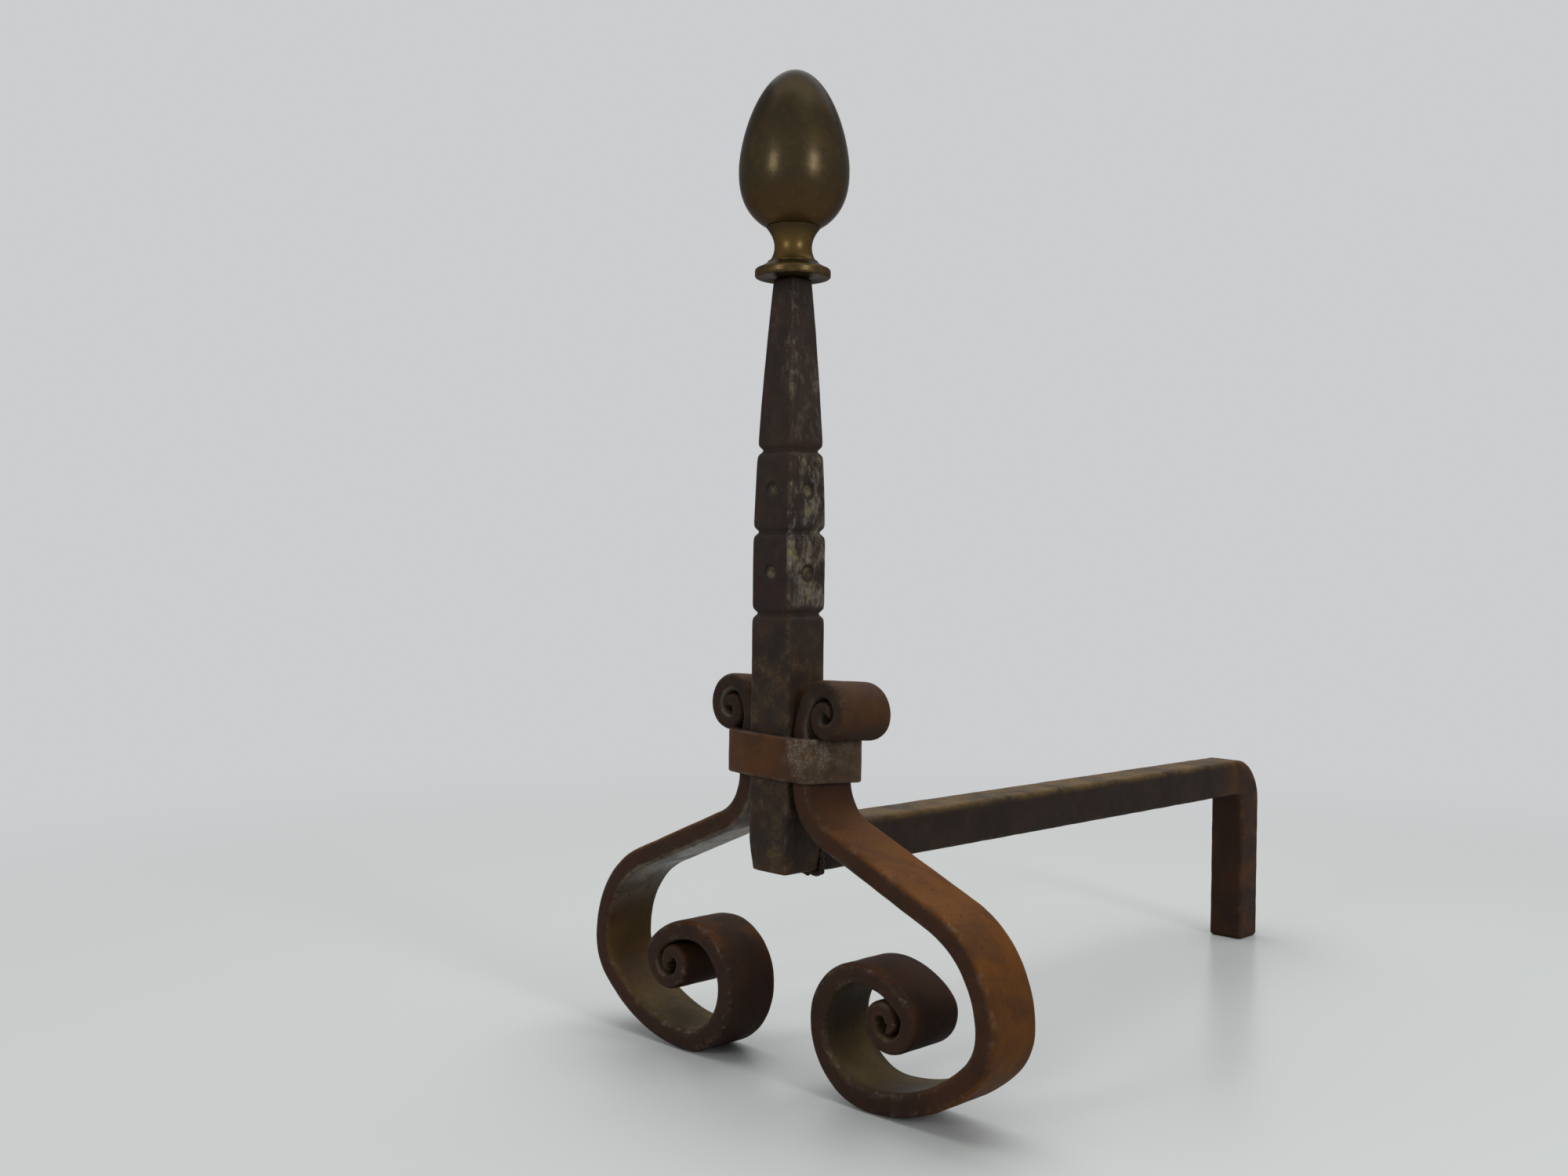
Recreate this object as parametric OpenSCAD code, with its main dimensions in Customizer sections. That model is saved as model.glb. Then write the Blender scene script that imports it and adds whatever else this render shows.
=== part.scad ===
// Andiron: a forged square post on two scroll feet, held by a hot collar,
// with a billet bar behind for the logs and a brass egg finial on top.
// Frame: the middle of the bounding box is x = 0, y = 0 and the floor is z = 0.
// X runs along the feet and +Y runs back along the log bar. Each module draws
// its piece about the post's axis, and the last lines move them all by mid_y.

/* [Post] */
// Width of the square post
post_w = 25; // [22:0.5:28]
// Height of the post's top, where the finial sits
post_top_z = 378; // [366:1:390]
// Width of the post at its top
post_tip_w = 13; // [12:0.5:16]
// Height at which the post starts to narrow
post_taper_z = 250; // [230:1:262]
// Length of the blunt point at the lower end
post_point_h = 16; // [8:1:22]
// How far the post's lower end sits above the bar's underside
post_lift = 0.7; // [0:0.1:2]
// How far each face draws in at the blunt point
post_point_in = 1.5; // [0.5:0.1:3]
// Flat along each long arris of the post
post_arris = 1.6; // [0.5:0.1:2.5]
// Height of the lowest V groove
groove_z = 219.5; // [205:0.5:230]
// Distance between V grooves
groove_pitch = 38.4; // [34:0.2:39]
// Depth of a V groove in each face
groove_depth = 1.5; // [0.5:0.1:2.5]
// Width of a V groove at the surface
groove_w = 6; // [3:0.5:9]
// Radius of the punch that made the dimples
dimple_r = 7.5; // [3:0.5:9]
// Depth of a dimple
dimple_depth = 1.4; // [0.5:0.1:2]

/* [Legs] */
// How far each foot reaches out from the post's axis
foot_reach = 131.2; // [120:0.5:142]
// Width of the leg bar, front to back
leg_w = 28; // [22:0.5:32]
// Thickness of the leg bar
leg_t = 10.7; // [9.5:0.1:11.2]
// How far the legs sit behind the post's axis
leg_back = 3.9; // [0:0.1:5]
// Rounding flat along each arris of the leg bar
leg_arris = 2.2; // [1:0.1:3]
// How much wider the small scrolls are than the leg bar
scroll_spread = 2.4; // [0:0.1:4]
// How far the small scrolls sit behind the legs
scroll_back = 2.6; // [0:0.1:4]

/* [Collar] */
// Height of the collar's lower edge above the legs' shoulder
collar_lift = 0.3; // [0:0.1:2]
// Height of the small scrolls' lowest point above the collar
scroll_lift = 0.4; // [0.2:0.1:2]
// Height of the collar
collar_h = 19.6; // [14:0.2:22]
// Thickness of the collar band
collar_t = 4.5; // [3:0.25:6]
// Corner radius of the band
collar_r = 6; // [4:0.5:8]
// Width of the gap where the band's ends meet
collar_slot = 3; // [2:0.5:5]
// Radius of the bead that closes the gap
bead_r = 3.6; // [2.5:0.1:4.5]
// Depth of the bead's centre below the band's surface
bead_sink = 2; // [1:0.1:2.4]
// Radius of the rivet under the collar
rivet_r = 4; // [3:0.5:5]

/* [Log bar] */
// Width of the square billet bar
bar_w = 22.5; // [19:0.5:23]
// Height of the bar's top
bar_top_z = 119.3; // [116:0.1:122]
// Distance from the post's axis to the back of the rear foot
bar_reach = 441.3; // [380:1:500]
// Inside radius of the rear bend
bend_r = 6.5; // [2:0.5:8]
// Flat along each arris of the bar
bar_arris = 1.5; // [0.5:0.1:2.5]
// Radius of the weld runs that hold the bar to the post
weld_r = 2.4; // [1.8:0.1:3]

/* [Finial] */
// Height of the pedestal, from the post's top to the seam under the egg
pedestal_h = 24; // [22:0.5:25]
// Radius of the pedestal's flange
flange_r = 18; // [15:0.5:21]
// Height of the flange's moulding
flange_h = 6.8; // [6:0.1:8]
// How far the moulding draws in above the flange
flange_in = 6; // [5:0.1:6.5]
// Height of the raised ring above the post's top
ring_h = 8.2; // [8.1:0.1:9]
// Height of the pedestal's waist above the post's top
waist_h = 14.5; // [13:0.5:18]
// Radius of the pedestal's waist
waist_r = 8.9; // [8:0.1:11]
// Radius of the pedestal just above its ring
throat_r = 10.6; // [10:0.1:11]
// Radius of the pedestal at the seam
seam_r = 12.95; // [11:0.05:15]
// Height of the egg's widest girth above the seam
egg_low_h = 27; // [23:0.5:29]
// Height of the egg's top above its girth
egg_top_h = 47; // [40:0.5:54]
// Depth below the girth at which the egg's lower curve would close
egg_round_h = 30; // [29.5:0.5:36]
// Radius of the egg at its girth
egg_r = 26.2; // [23:0.2:29]
// Radius of the threaded stud
stud_r = 4; // [3:0.25:4.5]
// Length of stud inside the post
stud_grip = 13; // [10:0.5:16]
// Length of stud inside the egg
stud_hold = 18; // [12:0.5:24]
// Clearance below the stud in its hole
stud_end_gap = 3; // [1:0.5:5]
// Running clearance round the stud
stud_gap = 0.05; // [0.03:0.01:0.1]

/* [Hidden] */
$fn = 64;

post_half = post_w / 2;
bar_low_z = bar_top_z - bar_w;
post_low_z = bar_low_z + post_lift;
bar_half = bar_w / 2;

// Bends of a leg: [outer radius, degrees, share of the full thickness]. A radius of
// 0 is a straight, whose second value is its length, and a negative radius bends the
// other way. The foot's sweep is in shares of foot_u, the rolls are in thicknesses.
SWEEP = [[-2, 67, 1], [0, 6.3, 1], [5.05, 67, 1], [2.76, 45, 1], [8.13, 45, 1],
         [3.27, 90, 1], [2.8, 90, 0.96], [3.97, 45, 0.86]];
ROLL = [[1.08, 45, 0.9], [1.5, 45, 0.86], [1.5, 45, 0.72], [1.26, 90, 0.66], [0.88, 90, 0.62],
        [0.78, 90, 0.66], [0, 0.08, 0.6], [0.46, 90, 0.44], [0.28, 50, 0.26]];
SMALL = [[3.74, 30, 0.75], [1.26, 60, 0.78], [1.38, 90, 0.75], [1.2, 90, 0.72], [0.82, 90, 0.66],
         [0.93, 45, 0.64], [0.62, 45, 0.56], [0.5, 90, 0.48], [0.34, 70, 0.3]];

// The same bends in millimetres
function sized(rows, unit) = [for (r = rows) [r[0] * unit, r[0] == 0 ? r[1] * unit : r[1], r[2]]];

// Turn of the path after the first n bends of a run, in degrees
function turn(rows, n) =
    n == 0 ? 0 : turn(rows, n - 1) + (rows[n - 1][0] == 0 ? 0 : sign(rows[n - 1][0]) * rows[n - 1][1]);

// How far the outer face has advanced along its first heading after n bends
function advance(rows, n) =
    n == 0 ? 0
    : advance(rows, n - 1)
      + (rows[n - 1][0] == 0 ? rows[n - 1][1] * cos(turn(rows, n - 1))
         : rows[n - 1][0] * (sin(turn(rows, n)) - sin(turn(rows, n - 1))));

// How far it has moved out sideways, away from the bar's body
function spread(rows, n) =
    n == 0 ? 0
    : spread(rows, n - 1)
      - (rows[n - 1][0] == 0 ? rows[n - 1][1] * sin(turn(rows, n - 1))
         : rows[n - 1][0] * (cos(turn(rows, n - 1)) - cos(turn(rows, n))));

leg_out_x = post_half + leg_t;
foot_u = (foot_reach - leg_out_x) / max([for (n = [0:len(SWEEP)]) spread(SWEEP, n)]);
FOOT = concat(sized(SWEEP, foot_u), sized(ROLL, leg_t));
foot_drop = max([for (n = [0:len(FOOT)]) advance(FOOT, n)]);
small_sag = leg_t * advance(SMALL, 4);
hair = 0.08;
joint_lap = 0.3;

// The legs leave the post at shoulder_z, and the lowest bend touches the floor
shoulder_z = foot_drop;
collar_z = shoulder_z + collar_lift;
collar_top_z = collar_z + collar_h;
small_z = collar_top_z + scroll_lift - small_sag;
neck_z = collar_top_z + 2 * joint_lap;
rivet_z = collar_z + collar_h / 2;
seam_z = post_top_z + pedestal_h;
egg_girth_z = seam_z + egg_low_h;
finial_top_z = egg_girth_z + egg_top_h;
// The egg reaches furthest forward and the rear foot furthest back
mid_y = (bar_reach - egg_r) / 2;

// Cross-section of a flat bar from x0 to x0 + t, with its arrises cut off
module bar_section(x0, t, w, arris) {
    c = min(arris, t * 0.3);
    polygon([[x0 + c, -w / 2], [x0 + t - c, -w / 2], [x0 + t, c - w / 2], [x0 + t, w / 2 - c],
             [x0 + t - c, w / 2], [x0 + c, w / 2], [x0, w / 2 - c], [x0, c - w / 2]]);
}

// A bent bar. It heads along +Y with its outer face on x = 0 and its body at +x.
// Every other stretch is a hair slimmer and runs a little way into its neighbours,
// so that the stretches join as one solid.
module bar_run(rows, t, w, arris, i = 0) {
    if (i < len(rows)) {
        r = rows[i][0];
        a = rows[i][1];
        slim = i % 2 == 0 ? hair : 0;
        lap = i % 2 == 0 ? joint_lap : 0;
        thick = rows[i][2] * t - 2 * slim;
        if (r == 0) {
            translate([0, -lap, 0]) rotate([-90, 0, 0]) linear_extrude(height = a + 2 * lap)
                bar_section(slim, thick, w - 2 * slim, arris);
            translate([0, a, 0]) bar_run(rows, t, w, arris, i + 1);
        } else {
            side = sign(r);
            lap_a = lap / abs(r) * 180 / PI;
            translate([r, 0, 0]) rotate([0, 0, side > 0 ? 180 - a - lap_a : -lap_a])
                rotate_extrude(angle = a + 2 * lap_a)
                    bar_section(side > 0 ? r - slim - thick : slim - r, thick, w - 2 * slim, arris);
            translate([r - r * cos(a), abs(r) * sin(a), 0]) rotate([0, 0, -side * a])
                bar_run(rows, t, w, arris, i + 1);
        }
    }
}

// Half width of the post at height z, above the start of its taper
function post_taper(z) =
    (post_w - (post_w - post_tip_w) * pow((z - post_taper_z) / (post_top_z - post_taper_z), 1.6)) / 2;
function post_half_at(z) = z > post_taper_z ? post_taper(z) : post_half;

// One edge of the post's face, from the bottom to the top, drawn in by d
function post_edge(d) = concat(
    [[post_half - post_point_in - d, post_low_z], [post_half - d, post_low_z + post_point_h]],
    [for (g = [0, 1], k = [-1, 0, 1])
        let (z = groove_z + g * groove_pitch + k * groove_w / 2)
        [post_half_at(z) - (k == 0 ? groove_depth : 0) - d, z]],
    [for (n = [0.26, 0.57, 0.83])
        let (z = groove_z + (1 + n) * groove_pitch) [post_half_at(z) - d, z]],
    [for (k = [-1, 0, 1])
        let (z = groove_z + 2 * groove_pitch + k * groove_w / 2)
        [post_half_at(z) - (k == 0 ? groove_depth : 0) - d, z]],
    [for (n = [1:6])
        let (low = groove_z + 2 * groove_pitch + groove_w / 2, z = low + (post_top_z - low) * n / 6)
        [post_half_at(z) - d, z]]);

// Slab with the post's side outline, scaled sideways by s and drawn in by d
module post_slab(s, d) {
    edge = post_edge(d);
    last = len(edge) - 1;
    rotate([90, 0, 0]) linear_extrude(height = post_w * 2, center = true)
        polygon(concat([for (p = edge) [p[0] * s, p[1]]],
                       [for (n = [0:last]) [-edge[last - n][0] * s, edge[last - n][1]]]));
}

module post() color("#3b332c") {
    difference() {
        intersection() {
            post_slab(1, 0);
            rotate([0, 0, 90]) post_slab(1, 0);
            rotate([0, 0, 45]) post_slab(sqrt(2), post_arris / 2);
            rotate([0, 0, -45]) post_slab(sqrt(2), post_arris / 2);
        }
        for (side = [0:3], block = [0.5, 1.5]) {
            z = groove_z + block * groove_pitch;
            rotate([0, 0, side * 90])
                translate([post_half_at(z) + dimple_r - dimple_depth, 0, z]) sphere(r = dimple_r);
        }
        translate([0, 0, post_top_z - stud_grip - stud_end_gap])
            cylinder(r = stud_r + stud_gap, h = stud_grip + 2 * stud_end_gap);
        translate([0, 0, rivet_z]) rotate([0, 90, 0]) cylinder(r = rivet_r, h = 2 * post_w, center = true);
    }
}

module leg_solid() {
    neck = [0, small_z - neck_z, 0.85];
    difference() {
        translate([0, leg_back, 0]) rotate([90, 0, 0]) {
            translate([leg_out_x, shoulder_z, 0]) rotate([0, 0, 180]) bar_run(FOOT, leg_t, leg_w, leg_arris);
            translate([post_half, shoulder_z, 0]) rotate([-90, 0, 0])
                linear_extrude(height = neck_z - shoulder_z) bar_section(0, leg_t, leg_w, leg_arris);
            translate([post_half, neck_z, -scroll_back])
                bar_run(concat([neck], sized(SMALL, leg_t)), leg_t, leg_w + scroll_spread, leg_arris);
        }
        translate([0, 0, rivet_z]) rotate([0, 90, 0]) cylinder(r = rivet_r, h = 2 * leg_out_x);
    }
}

module right_leg() color("#5a3a20") leg_solid();

module left_leg() color("#5a3a20") mirror([1, 0, 0]) leg_solid();

// Outline of the collar: flat over the post, then slanting back over the legs
module collar_outline() {
    out_x = leg_out_x + collar_t;
    front_y = -post_half - collar_t;
    side_y = leg_back - leg_w / 2 - collar_t;
    back_y = leg_back + leg_w / 2 + collar_t;
    union() {
        polygon([[-post_half, front_y], [post_half, front_y], [out_x - collar_r * 0.8, side_y],
                 [out_x, side_y + collar_r * 0.8], [out_x, back_y - collar_r],
                 [out_x - collar_r, back_y], [collar_r - out_x, back_y], [-out_x, back_y - collar_r],
                 [-out_x, side_y + collar_r * 0.8], [collar_r * 0.8 - out_x, side_y]]);
        for (s = [-1, 1]) {
            translate([s * (out_x - collar_r), back_y - collar_r]) circle(r = collar_r);
            intersection() {
                translate([s * (out_x - collar_r), side_y + collar_r]) circle(r = collar_r);
                translate([s * out_x, side_y + collar_r]) square([2 * collar_r, 2 * collar_r], center = true);
            }
        }
    }
}

module collar() color("#6b4423") {
    translate([0, 0, collar_z]) linear_extrude(height = collar_h) difference() {
        collar_outline();
        translate([0, leg_back]) square([2 * leg_out_x, leg_w], center = true);
        square([post_w, post_w], center = true);
        translate([0, leg_back + leg_w / 2 + collar_t / 2])
            square([collar_slot, collar_t * 1.4], center = true);
    }
}

module collar_weld() color("#4a4038") {
    back_y = leg_back + leg_w / 2;
    translate([-collar_slot / 2, back_y, collar_z]) cube([collar_slot, collar_t, collar_h]);
    translate([0, back_y + collar_t, collar_z]) linear_extrude(height = collar_h) intersection() {
        translate([0, -bead_sink]) circle(r = bead_r);
        translate([-bead_r, 0]) square([2 * bead_r, bead_r]);
    }
}

module leg_rivet() color("#3a332d")
    translate([0, 0, rivet_z]) rotate([0, 90, 0]) cylinder(r = rivet_r, h = 2 * leg_out_x, center = true);

// The billet bar leaves the back of the post and bends down into the rear foot.
// Its front end is bevelled on top, so that the weld lies level and a log slides over it.
module log_bar() color("#5b4630") {
    foot_y = bar_reach - bar_w;
    bend_y = foot_y - bend_r;
    difference() {
        translate([0, post_half, bar_low_z + bar_half]) rotate([-90, 0, 0])
            linear_extrude(height = bend_y - post_half)
                translate([-bar_half, 0]) bar_section(0, bar_w, bar_w, bar_arris);
        translate([bar_w, 0, 0]) rotate([0, -90, 0]) linear_extrude(height = 2 * bar_w)
            polygon([[bar_top_z - 2 * weld_r, post_half - weld_r], [bar_top_z + weld_r, post_half - weld_r],
                     [bar_top_z + weld_r, post_half + 2 * weld_r]]);
    }
    translate([0, bend_y, bar_low_z - bend_r]) rotate([0, -90, 0]) rotate_extrude(angle = 90)
        bar_section(bend_r, bar_w, bar_w, bar_arris);
    translate([0, foot_y + bar_half, 0]) linear_extrude(height = bar_low_z - bend_r)
        translate([-bar_half, 0]) bar_section(0, bar_w, bar_w, bar_arris);
}

// Weld between the post and the end of the bar: a run all round, the wedge
// behind the blunt point filled, and two drips hanging below
module bar_weld() color("#3f3a35") {
    point_y = post_half - post_point_in;
    side_t = weld_r * 0.44;
    weld_x = bar_half + side_t;
    translate([weld_x, 0, 0]) rotate([0, -90, 0]) linear_extrude(height = 2 * weld_x)
        polygon([[bar_top_z - weld_r, post_half], [bar_top_z, post_half], [bar_top_z, post_half + weld_r]]);
    for (s = [0, 1]) mirror([s, 0, 0]) translate([bar_half, post_half, bar_low_z - weld_r * 0.5])
        cube([side_t, weld_r * 0.6, bar_w + weld_r * 0.5]);
    translate([point_y, 0, 0]) rotate([0, -90, 0]) linear_extrude(height = 2 * point_y, center = false)
        polygon([[post_low_z, point_y], [post_low_z + post_point_h, post_half], [bar_low_z, post_half],
                 [bar_low_z, post_half - weld_r * 0.2], [bar_low_z - weld_r * 0.7, post_half - weld_r * 0.2],
                 [bar_low_z - weld_r * 0.7, point_y], [post_low_z, point_y - weld_r * 0.6]]);
    translate([weld_x, 0, 0]) rotate([0, -90, 0]) linear_extrude(height = 2 * weld_x)
        polygon([[bar_low_z, post_half - weld_r * 0.3], [bar_low_z, post_half + weld_r],
                 [bar_low_z - weld_r * 0.7, post_half + weld_r * 0.5],
                 [bar_low_z - weld_r * 0.7, post_half - weld_r * 0.3]]);
    difference() {
        union() {
            translate([bar_half * 0.25, post_half, bar_low_z - weld_r * 0.6]) sphere(r = weld_r * 0.9);
            translate([bar_half * 0.8, post_half + weld_r * 0.2, bar_low_z - weld_r * 0.5])
                sphere(r = weld_r * 0.75);
        }
        translate([-bar_half, -post_half, bar_low_z]) cube([bar_w, 2 * bar_w, bar_w]);
    }
}

// Outline of the pedestal: flange, raised ring, then a waist under the egg
module finial_base() color("#8a6a3a") {
    // The moulding's points: [share of flange_in, share of flange_h]
    moulding = [[0.08, 0], [0.02, 0.03], [0, 0.1], [0, 0.44], [0.03, 0.53], [0.12, 0.63],
                [0.35, 0.76], [0.65, 0.89], [0.85, 0.96], [1, 1]];
    ring_z = post_top_z + ring_h;
    throat_z = ring_z + flange_h * 0.12;
    waist_z = post_top_z + waist_h;
    rotate_extrude() difference() {
        polygon(concat(
            [[0, post_top_z]],
            [for (p = moulding) [flange_r - p[0] * flange_in, post_top_z + p[1] * flange_h]],
            [[flange_r - flange_in, ring_z], [flange_r - flange_in * 1.16, ring_z + flange_h * 0.07]],
            [for (n = [0:4])
                let (share = 1 - n / 4)
                [waist_r + (throat_r - waist_r) * share * share, waist_z - (waist_z - throat_z) * share]],
            [for (n = [1:6])
                let (share = n / 6)
                [waist_r + (seam_r - waist_r) * share * share, waist_z + (seam_z - waist_z) * share]],
            [[0, seam_z]]));
        square([stud_r + stud_gap, finial_top_z]);
    }
}

// Radius of the egg at height z, fuller below its girth than above it
function egg_at(z) =
    z > egg_girth_z ? egg_r * sqrt(1 - pow((z - egg_girth_z) / (finial_top_z - egg_girth_z), 1.6))
    : egg_r * sqrt(1 - pow((egg_girth_z - z) / egg_round_h, 2.5));

module finial_knob() color("#6e5a34") {
    rotate_extrude() difference() {
        polygon(concat(
            [[0, seam_z]],
            [for (n = [0:9])
                let (z = seam_z + (egg_girth_z - seam_z) * sin(n * 10)) [egg_at(z), z]],
            [for (n = [0:15])
                let (z = egg_girth_z + (finial_top_z - egg_girth_z) * sin(n * 6)) [egg_at(z), z]]));
        square([stud_r, seam_z + stud_hold]);
    }
}

module finial_stud() color("#7a756c")
    translate([0, 0, post_top_z - stud_grip]) cylinder(r = stud_r, h = stud_grip + pedestal_h + stud_hold);

translate([0, -mid_y, 0]) {
    post();
    left_leg();
    right_leg();
    collar();
    collar_weld();
    leg_rivet();
    log_bar();
    bar_weld();
    finial_base();
    finial_knob();
    finial_stud();
}
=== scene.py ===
"""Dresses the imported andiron: forged bars with soft arrises, rolled scrolls, welds and a brass egg."""

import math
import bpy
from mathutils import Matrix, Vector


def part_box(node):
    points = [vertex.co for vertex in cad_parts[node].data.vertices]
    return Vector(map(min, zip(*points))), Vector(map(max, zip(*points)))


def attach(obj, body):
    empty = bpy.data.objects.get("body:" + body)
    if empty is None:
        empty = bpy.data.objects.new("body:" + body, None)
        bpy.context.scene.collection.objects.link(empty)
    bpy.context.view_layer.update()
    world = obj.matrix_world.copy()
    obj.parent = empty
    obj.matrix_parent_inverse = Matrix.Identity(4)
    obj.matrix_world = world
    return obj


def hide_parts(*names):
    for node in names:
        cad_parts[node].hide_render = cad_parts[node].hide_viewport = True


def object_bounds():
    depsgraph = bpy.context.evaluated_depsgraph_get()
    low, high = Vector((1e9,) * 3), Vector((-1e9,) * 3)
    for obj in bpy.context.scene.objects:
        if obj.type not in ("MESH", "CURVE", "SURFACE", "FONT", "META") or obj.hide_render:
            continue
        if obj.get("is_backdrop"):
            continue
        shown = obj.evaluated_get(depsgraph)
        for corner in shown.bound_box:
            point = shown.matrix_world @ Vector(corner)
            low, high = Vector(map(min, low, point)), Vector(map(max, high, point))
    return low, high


bl_info = {
    "name": "Forged Andiron",
    "version": (1, 0, 0),
    "blender": (4, 5, 0),
    "location": "3D View > Sidebar > Andiron",
    "description": "Builds the forged and turned pieces of an andiron over its packed solids",
    "category": "Object",
}

import bpy
import numpy as np
from bpy.props import FloatProperty, FloatVectorProperty, IntProperty, PointerProperty
from mathutils import Matrix, Vector

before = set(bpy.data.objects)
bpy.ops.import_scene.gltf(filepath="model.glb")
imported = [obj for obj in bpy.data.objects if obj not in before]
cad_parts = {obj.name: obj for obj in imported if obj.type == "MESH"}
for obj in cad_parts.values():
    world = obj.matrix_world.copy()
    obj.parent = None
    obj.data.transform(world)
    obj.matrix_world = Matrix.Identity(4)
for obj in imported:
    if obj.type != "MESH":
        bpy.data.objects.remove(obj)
CAD_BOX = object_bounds()
MM = 0.001

POST_LOW, POST_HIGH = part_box("post")
BAR_LOW, BAR_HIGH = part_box("log_bar")
COLLAR_LOW, COLLAR_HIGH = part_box("collar")
LEG_LOW, LEG_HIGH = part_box("right_leg")
BASE_LOW, BASE_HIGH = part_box("finial_base")
EGG_LOW, EGG_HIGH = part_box("finial_knob")
STUD_LOW, STUD_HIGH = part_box("finial_stud")
AXIS_Y = (POST_LOW.y + POST_HIGH.y) / 2
POST_WIDTH = POST_HIGH.x - POST_LOW.x
BAR_WIDTH = BAR_HIGH.x - BAR_LOW.x

# A bend in a leg: outer radius and, for a straight (radius 0), length, both in
# bar thicknesses, then degrees, then the share of the bar's full thickness.
# A negative radius bends the other way.
FOOT_BENDS = [
    (-2, 67, 1), (0, 6.3, 1), (5.05, 67, 1), (2.76, 45, 1), (8.13, 45, 1),
    (3.27, 90, 1), (2.8, 90, 0.96), (3.97, 45, 0.86),
    (1.08, 45, 0.9), (1.5, 45, 0.86), (1.5, 45, 0.72), (1.26, 90, 0.66), (0.88, 90, 0.62),
    (0.78, 90, 0.66), (0, 0.08, 0.6), (0.46, 90, 0.44), (0.28, 50, 0.26),
]
SMALL_BENDS = [
    (3.74, 30, 0.75), (1.26, 60, 0.78), (1.38, 90, 0.75), (1.2, 90, 0.72), (0.82, 90, 0.66),
    (0.93, 45, 0.64), (0.62, 45, 0.56), (0.5, 90, 0.48), (0.34, 70, 0.3),
]
BEND_FILL = 0.97                # the most of a bend's radius that the bar's thickness may take
SCROLL_SEAT = 0.4 * MM          # gap between the collar's top and the small scrolls
SCROLL_SETTLE = 16 * MM         # length over which a small scroll takes its own width and place
SCROLL_ROOT = 0.1               # extra share of thickness where a small scroll leaves the collar
SCROLL_SHIFT = 0.25             # share of a scroll's width and place that is reached at its root
SCROLL_THINS = 1 * MM           # depth under the collar's top at which the bar starts to thin
SCROLL_LEAVES = 4 * MM          # depth at which it starts to move to the scroll's place
SHADE_TURNS = 10 * MM           # height over the collar's foot at which the finish changes sides

END_DRAW = 0.16                 # share of its size that a bar loses at its very end
TAPER_CURVE = 1.6               # power by which the post's taper gathers, so that it bulges
POINT_CURVE = 1.25              # the same for the blunt point at its foot
GROOVE_FLANK = 0.52             # width of a groove's round bottom, in half widths
GROOVE_SHOULDER = 1.6           # half widths over which the metal sinks beside a groove
GROOVE_SINK = 0.25 * MM         # how far it sinks
FACE_SHARE = 0.8                # share of the post's half width beyond which a point is on a face
LIP_REACH = 1.15                # where a dimple's raised lip runs and how wide it is, in its radii
LIP_WIDTH = 0.22
LIP_HEIGHT = 0.16 * MM
POST_STEP = 0.75 * MM           # spacing of the post's rings of faces
BEND_RINGS = 40                 # rings of faces round the log bar's bend
CORNER_POINTS = 9               # points round a corner of the collar

COLLAR_LIFT = 0.18 * MM         # height of the crooked collar's middle over its level place
COLLAR_BACK_CORNER = 3.6 * MM
COLLAR_SIDE_CORNER = 4.6 * MM
COLLAR_FRONT_CORNER = 20 * MM
BEAD_VOXEL = 0.3 * MM           # size to which the puddles of a weld are melted together
COLLAR_PUDDLE = (2.1 * MM, 1.5 * MM, 0.12)  # a weld puddle's radius, spacing and unevenness
BAR_PUDDLE = (1.9 * MM, 1.2 * MM, 0.2)

EGG_BELOW = 2.5                 # powers that shape the egg under and over its girth
EGG_ABOVE = 1.6
EGG_RINGS_BELOW = 45            # rings of faces under and over the girth
EGG_RINGS_ABOVE = 80
THREAD_SIDES = 48
THREAD_RINGS = 420
THREAD_SKIN = (0.775, 0.875)    # shares of the stud's radius over which the thread's cut sets in
THREAD_CHAMFER = 1.2 * MM       # length over which the thread runs out at either end
HOLE_SPARE = 3 * MM             # depth of the post's hole under the stud's end
DRILL_OVER = 2 * MM             # height of the drill over the post
DRILL_SIDES = 48

LAMPS = (                       # name, place, width and height, watts
    ("left_window", (0.04, -1.9, 0.8), (0.38, 0.52), 6.8),
    ("right_window", (1.69, -0.37, 0.8), (0.38, 0.52), 9.5),
    ("overhead", (-0.2, 0.2, 2.0), (2.4, 2.4), 42.0),
)
LAMP_AIM_Z = 0.25
SKY_COLOUR = (0.86, 0.88, 0.92)
SKY_STRENGTH = 0.42
FLOOR_RADIUS = 8.0
FLOOR_SIDES = 96


def span(low, high):
    """The start and the end of a soft step, given in millimetres."""
    return low * MM, high * MM


# Heights at which a finish changes.
PAN_RIM = span(16, 34)          # dust lies thickest under this, inside a foot's loop
COIL_LIT = span(30, 64)         # a foot's coil is rustier over this, and lighter as painted light on its upper turns
LEG_BRIGHT = span(50, 90)       # the leg's rust is brighter over this
LOOP_TOP = span(55, 85)         # dust and rust inside the leg end here, and worn iron begins
STAIN_TOP = span(60, 100)       # black stains outside the foot end here
COIL_TOP = span(78, 84)         # top of a foot's coil
COLLAR_UNDER = span(108, 142)   # the leg darkens towards the collar
COLLAR_OVER = span(165, 172)    # and is clear of it again
LEG_HEAD = span(140, 170)       # from the leg to its small scroll
SCROLL_DULL = span(163, 172)    # the small scroll is less rusty than the leg
BAR_TOP = span(95, 115)         # dust lies on the log bar's top, but not on its rear foot
LOW_POST = span(200, 220)       # the post under its grooves
BLOCKS_FOOT = span(221.5, 224.5)
BLOCKS_MIDDLE = span(250, 262)  # between the two blocks
BLOCKS_HEAD = span(292.5, 295.5)
TAPER_FOOT = span(298.5, 302)   # the worn stretch over the blocks
TAPER_WORN = span(330, 350)
TIP_FOOT = span(318, 345)       # the scraped tip of the post
EGG_WARM = span(400, 424)       # the brass is warmer under this
EGG_RED = span(406, 430)        # and the egg is redder
EGG_TOP_SHADE = span(428, 462)       # its top is darkened as painted shade against the overhead lamp's glare
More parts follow.
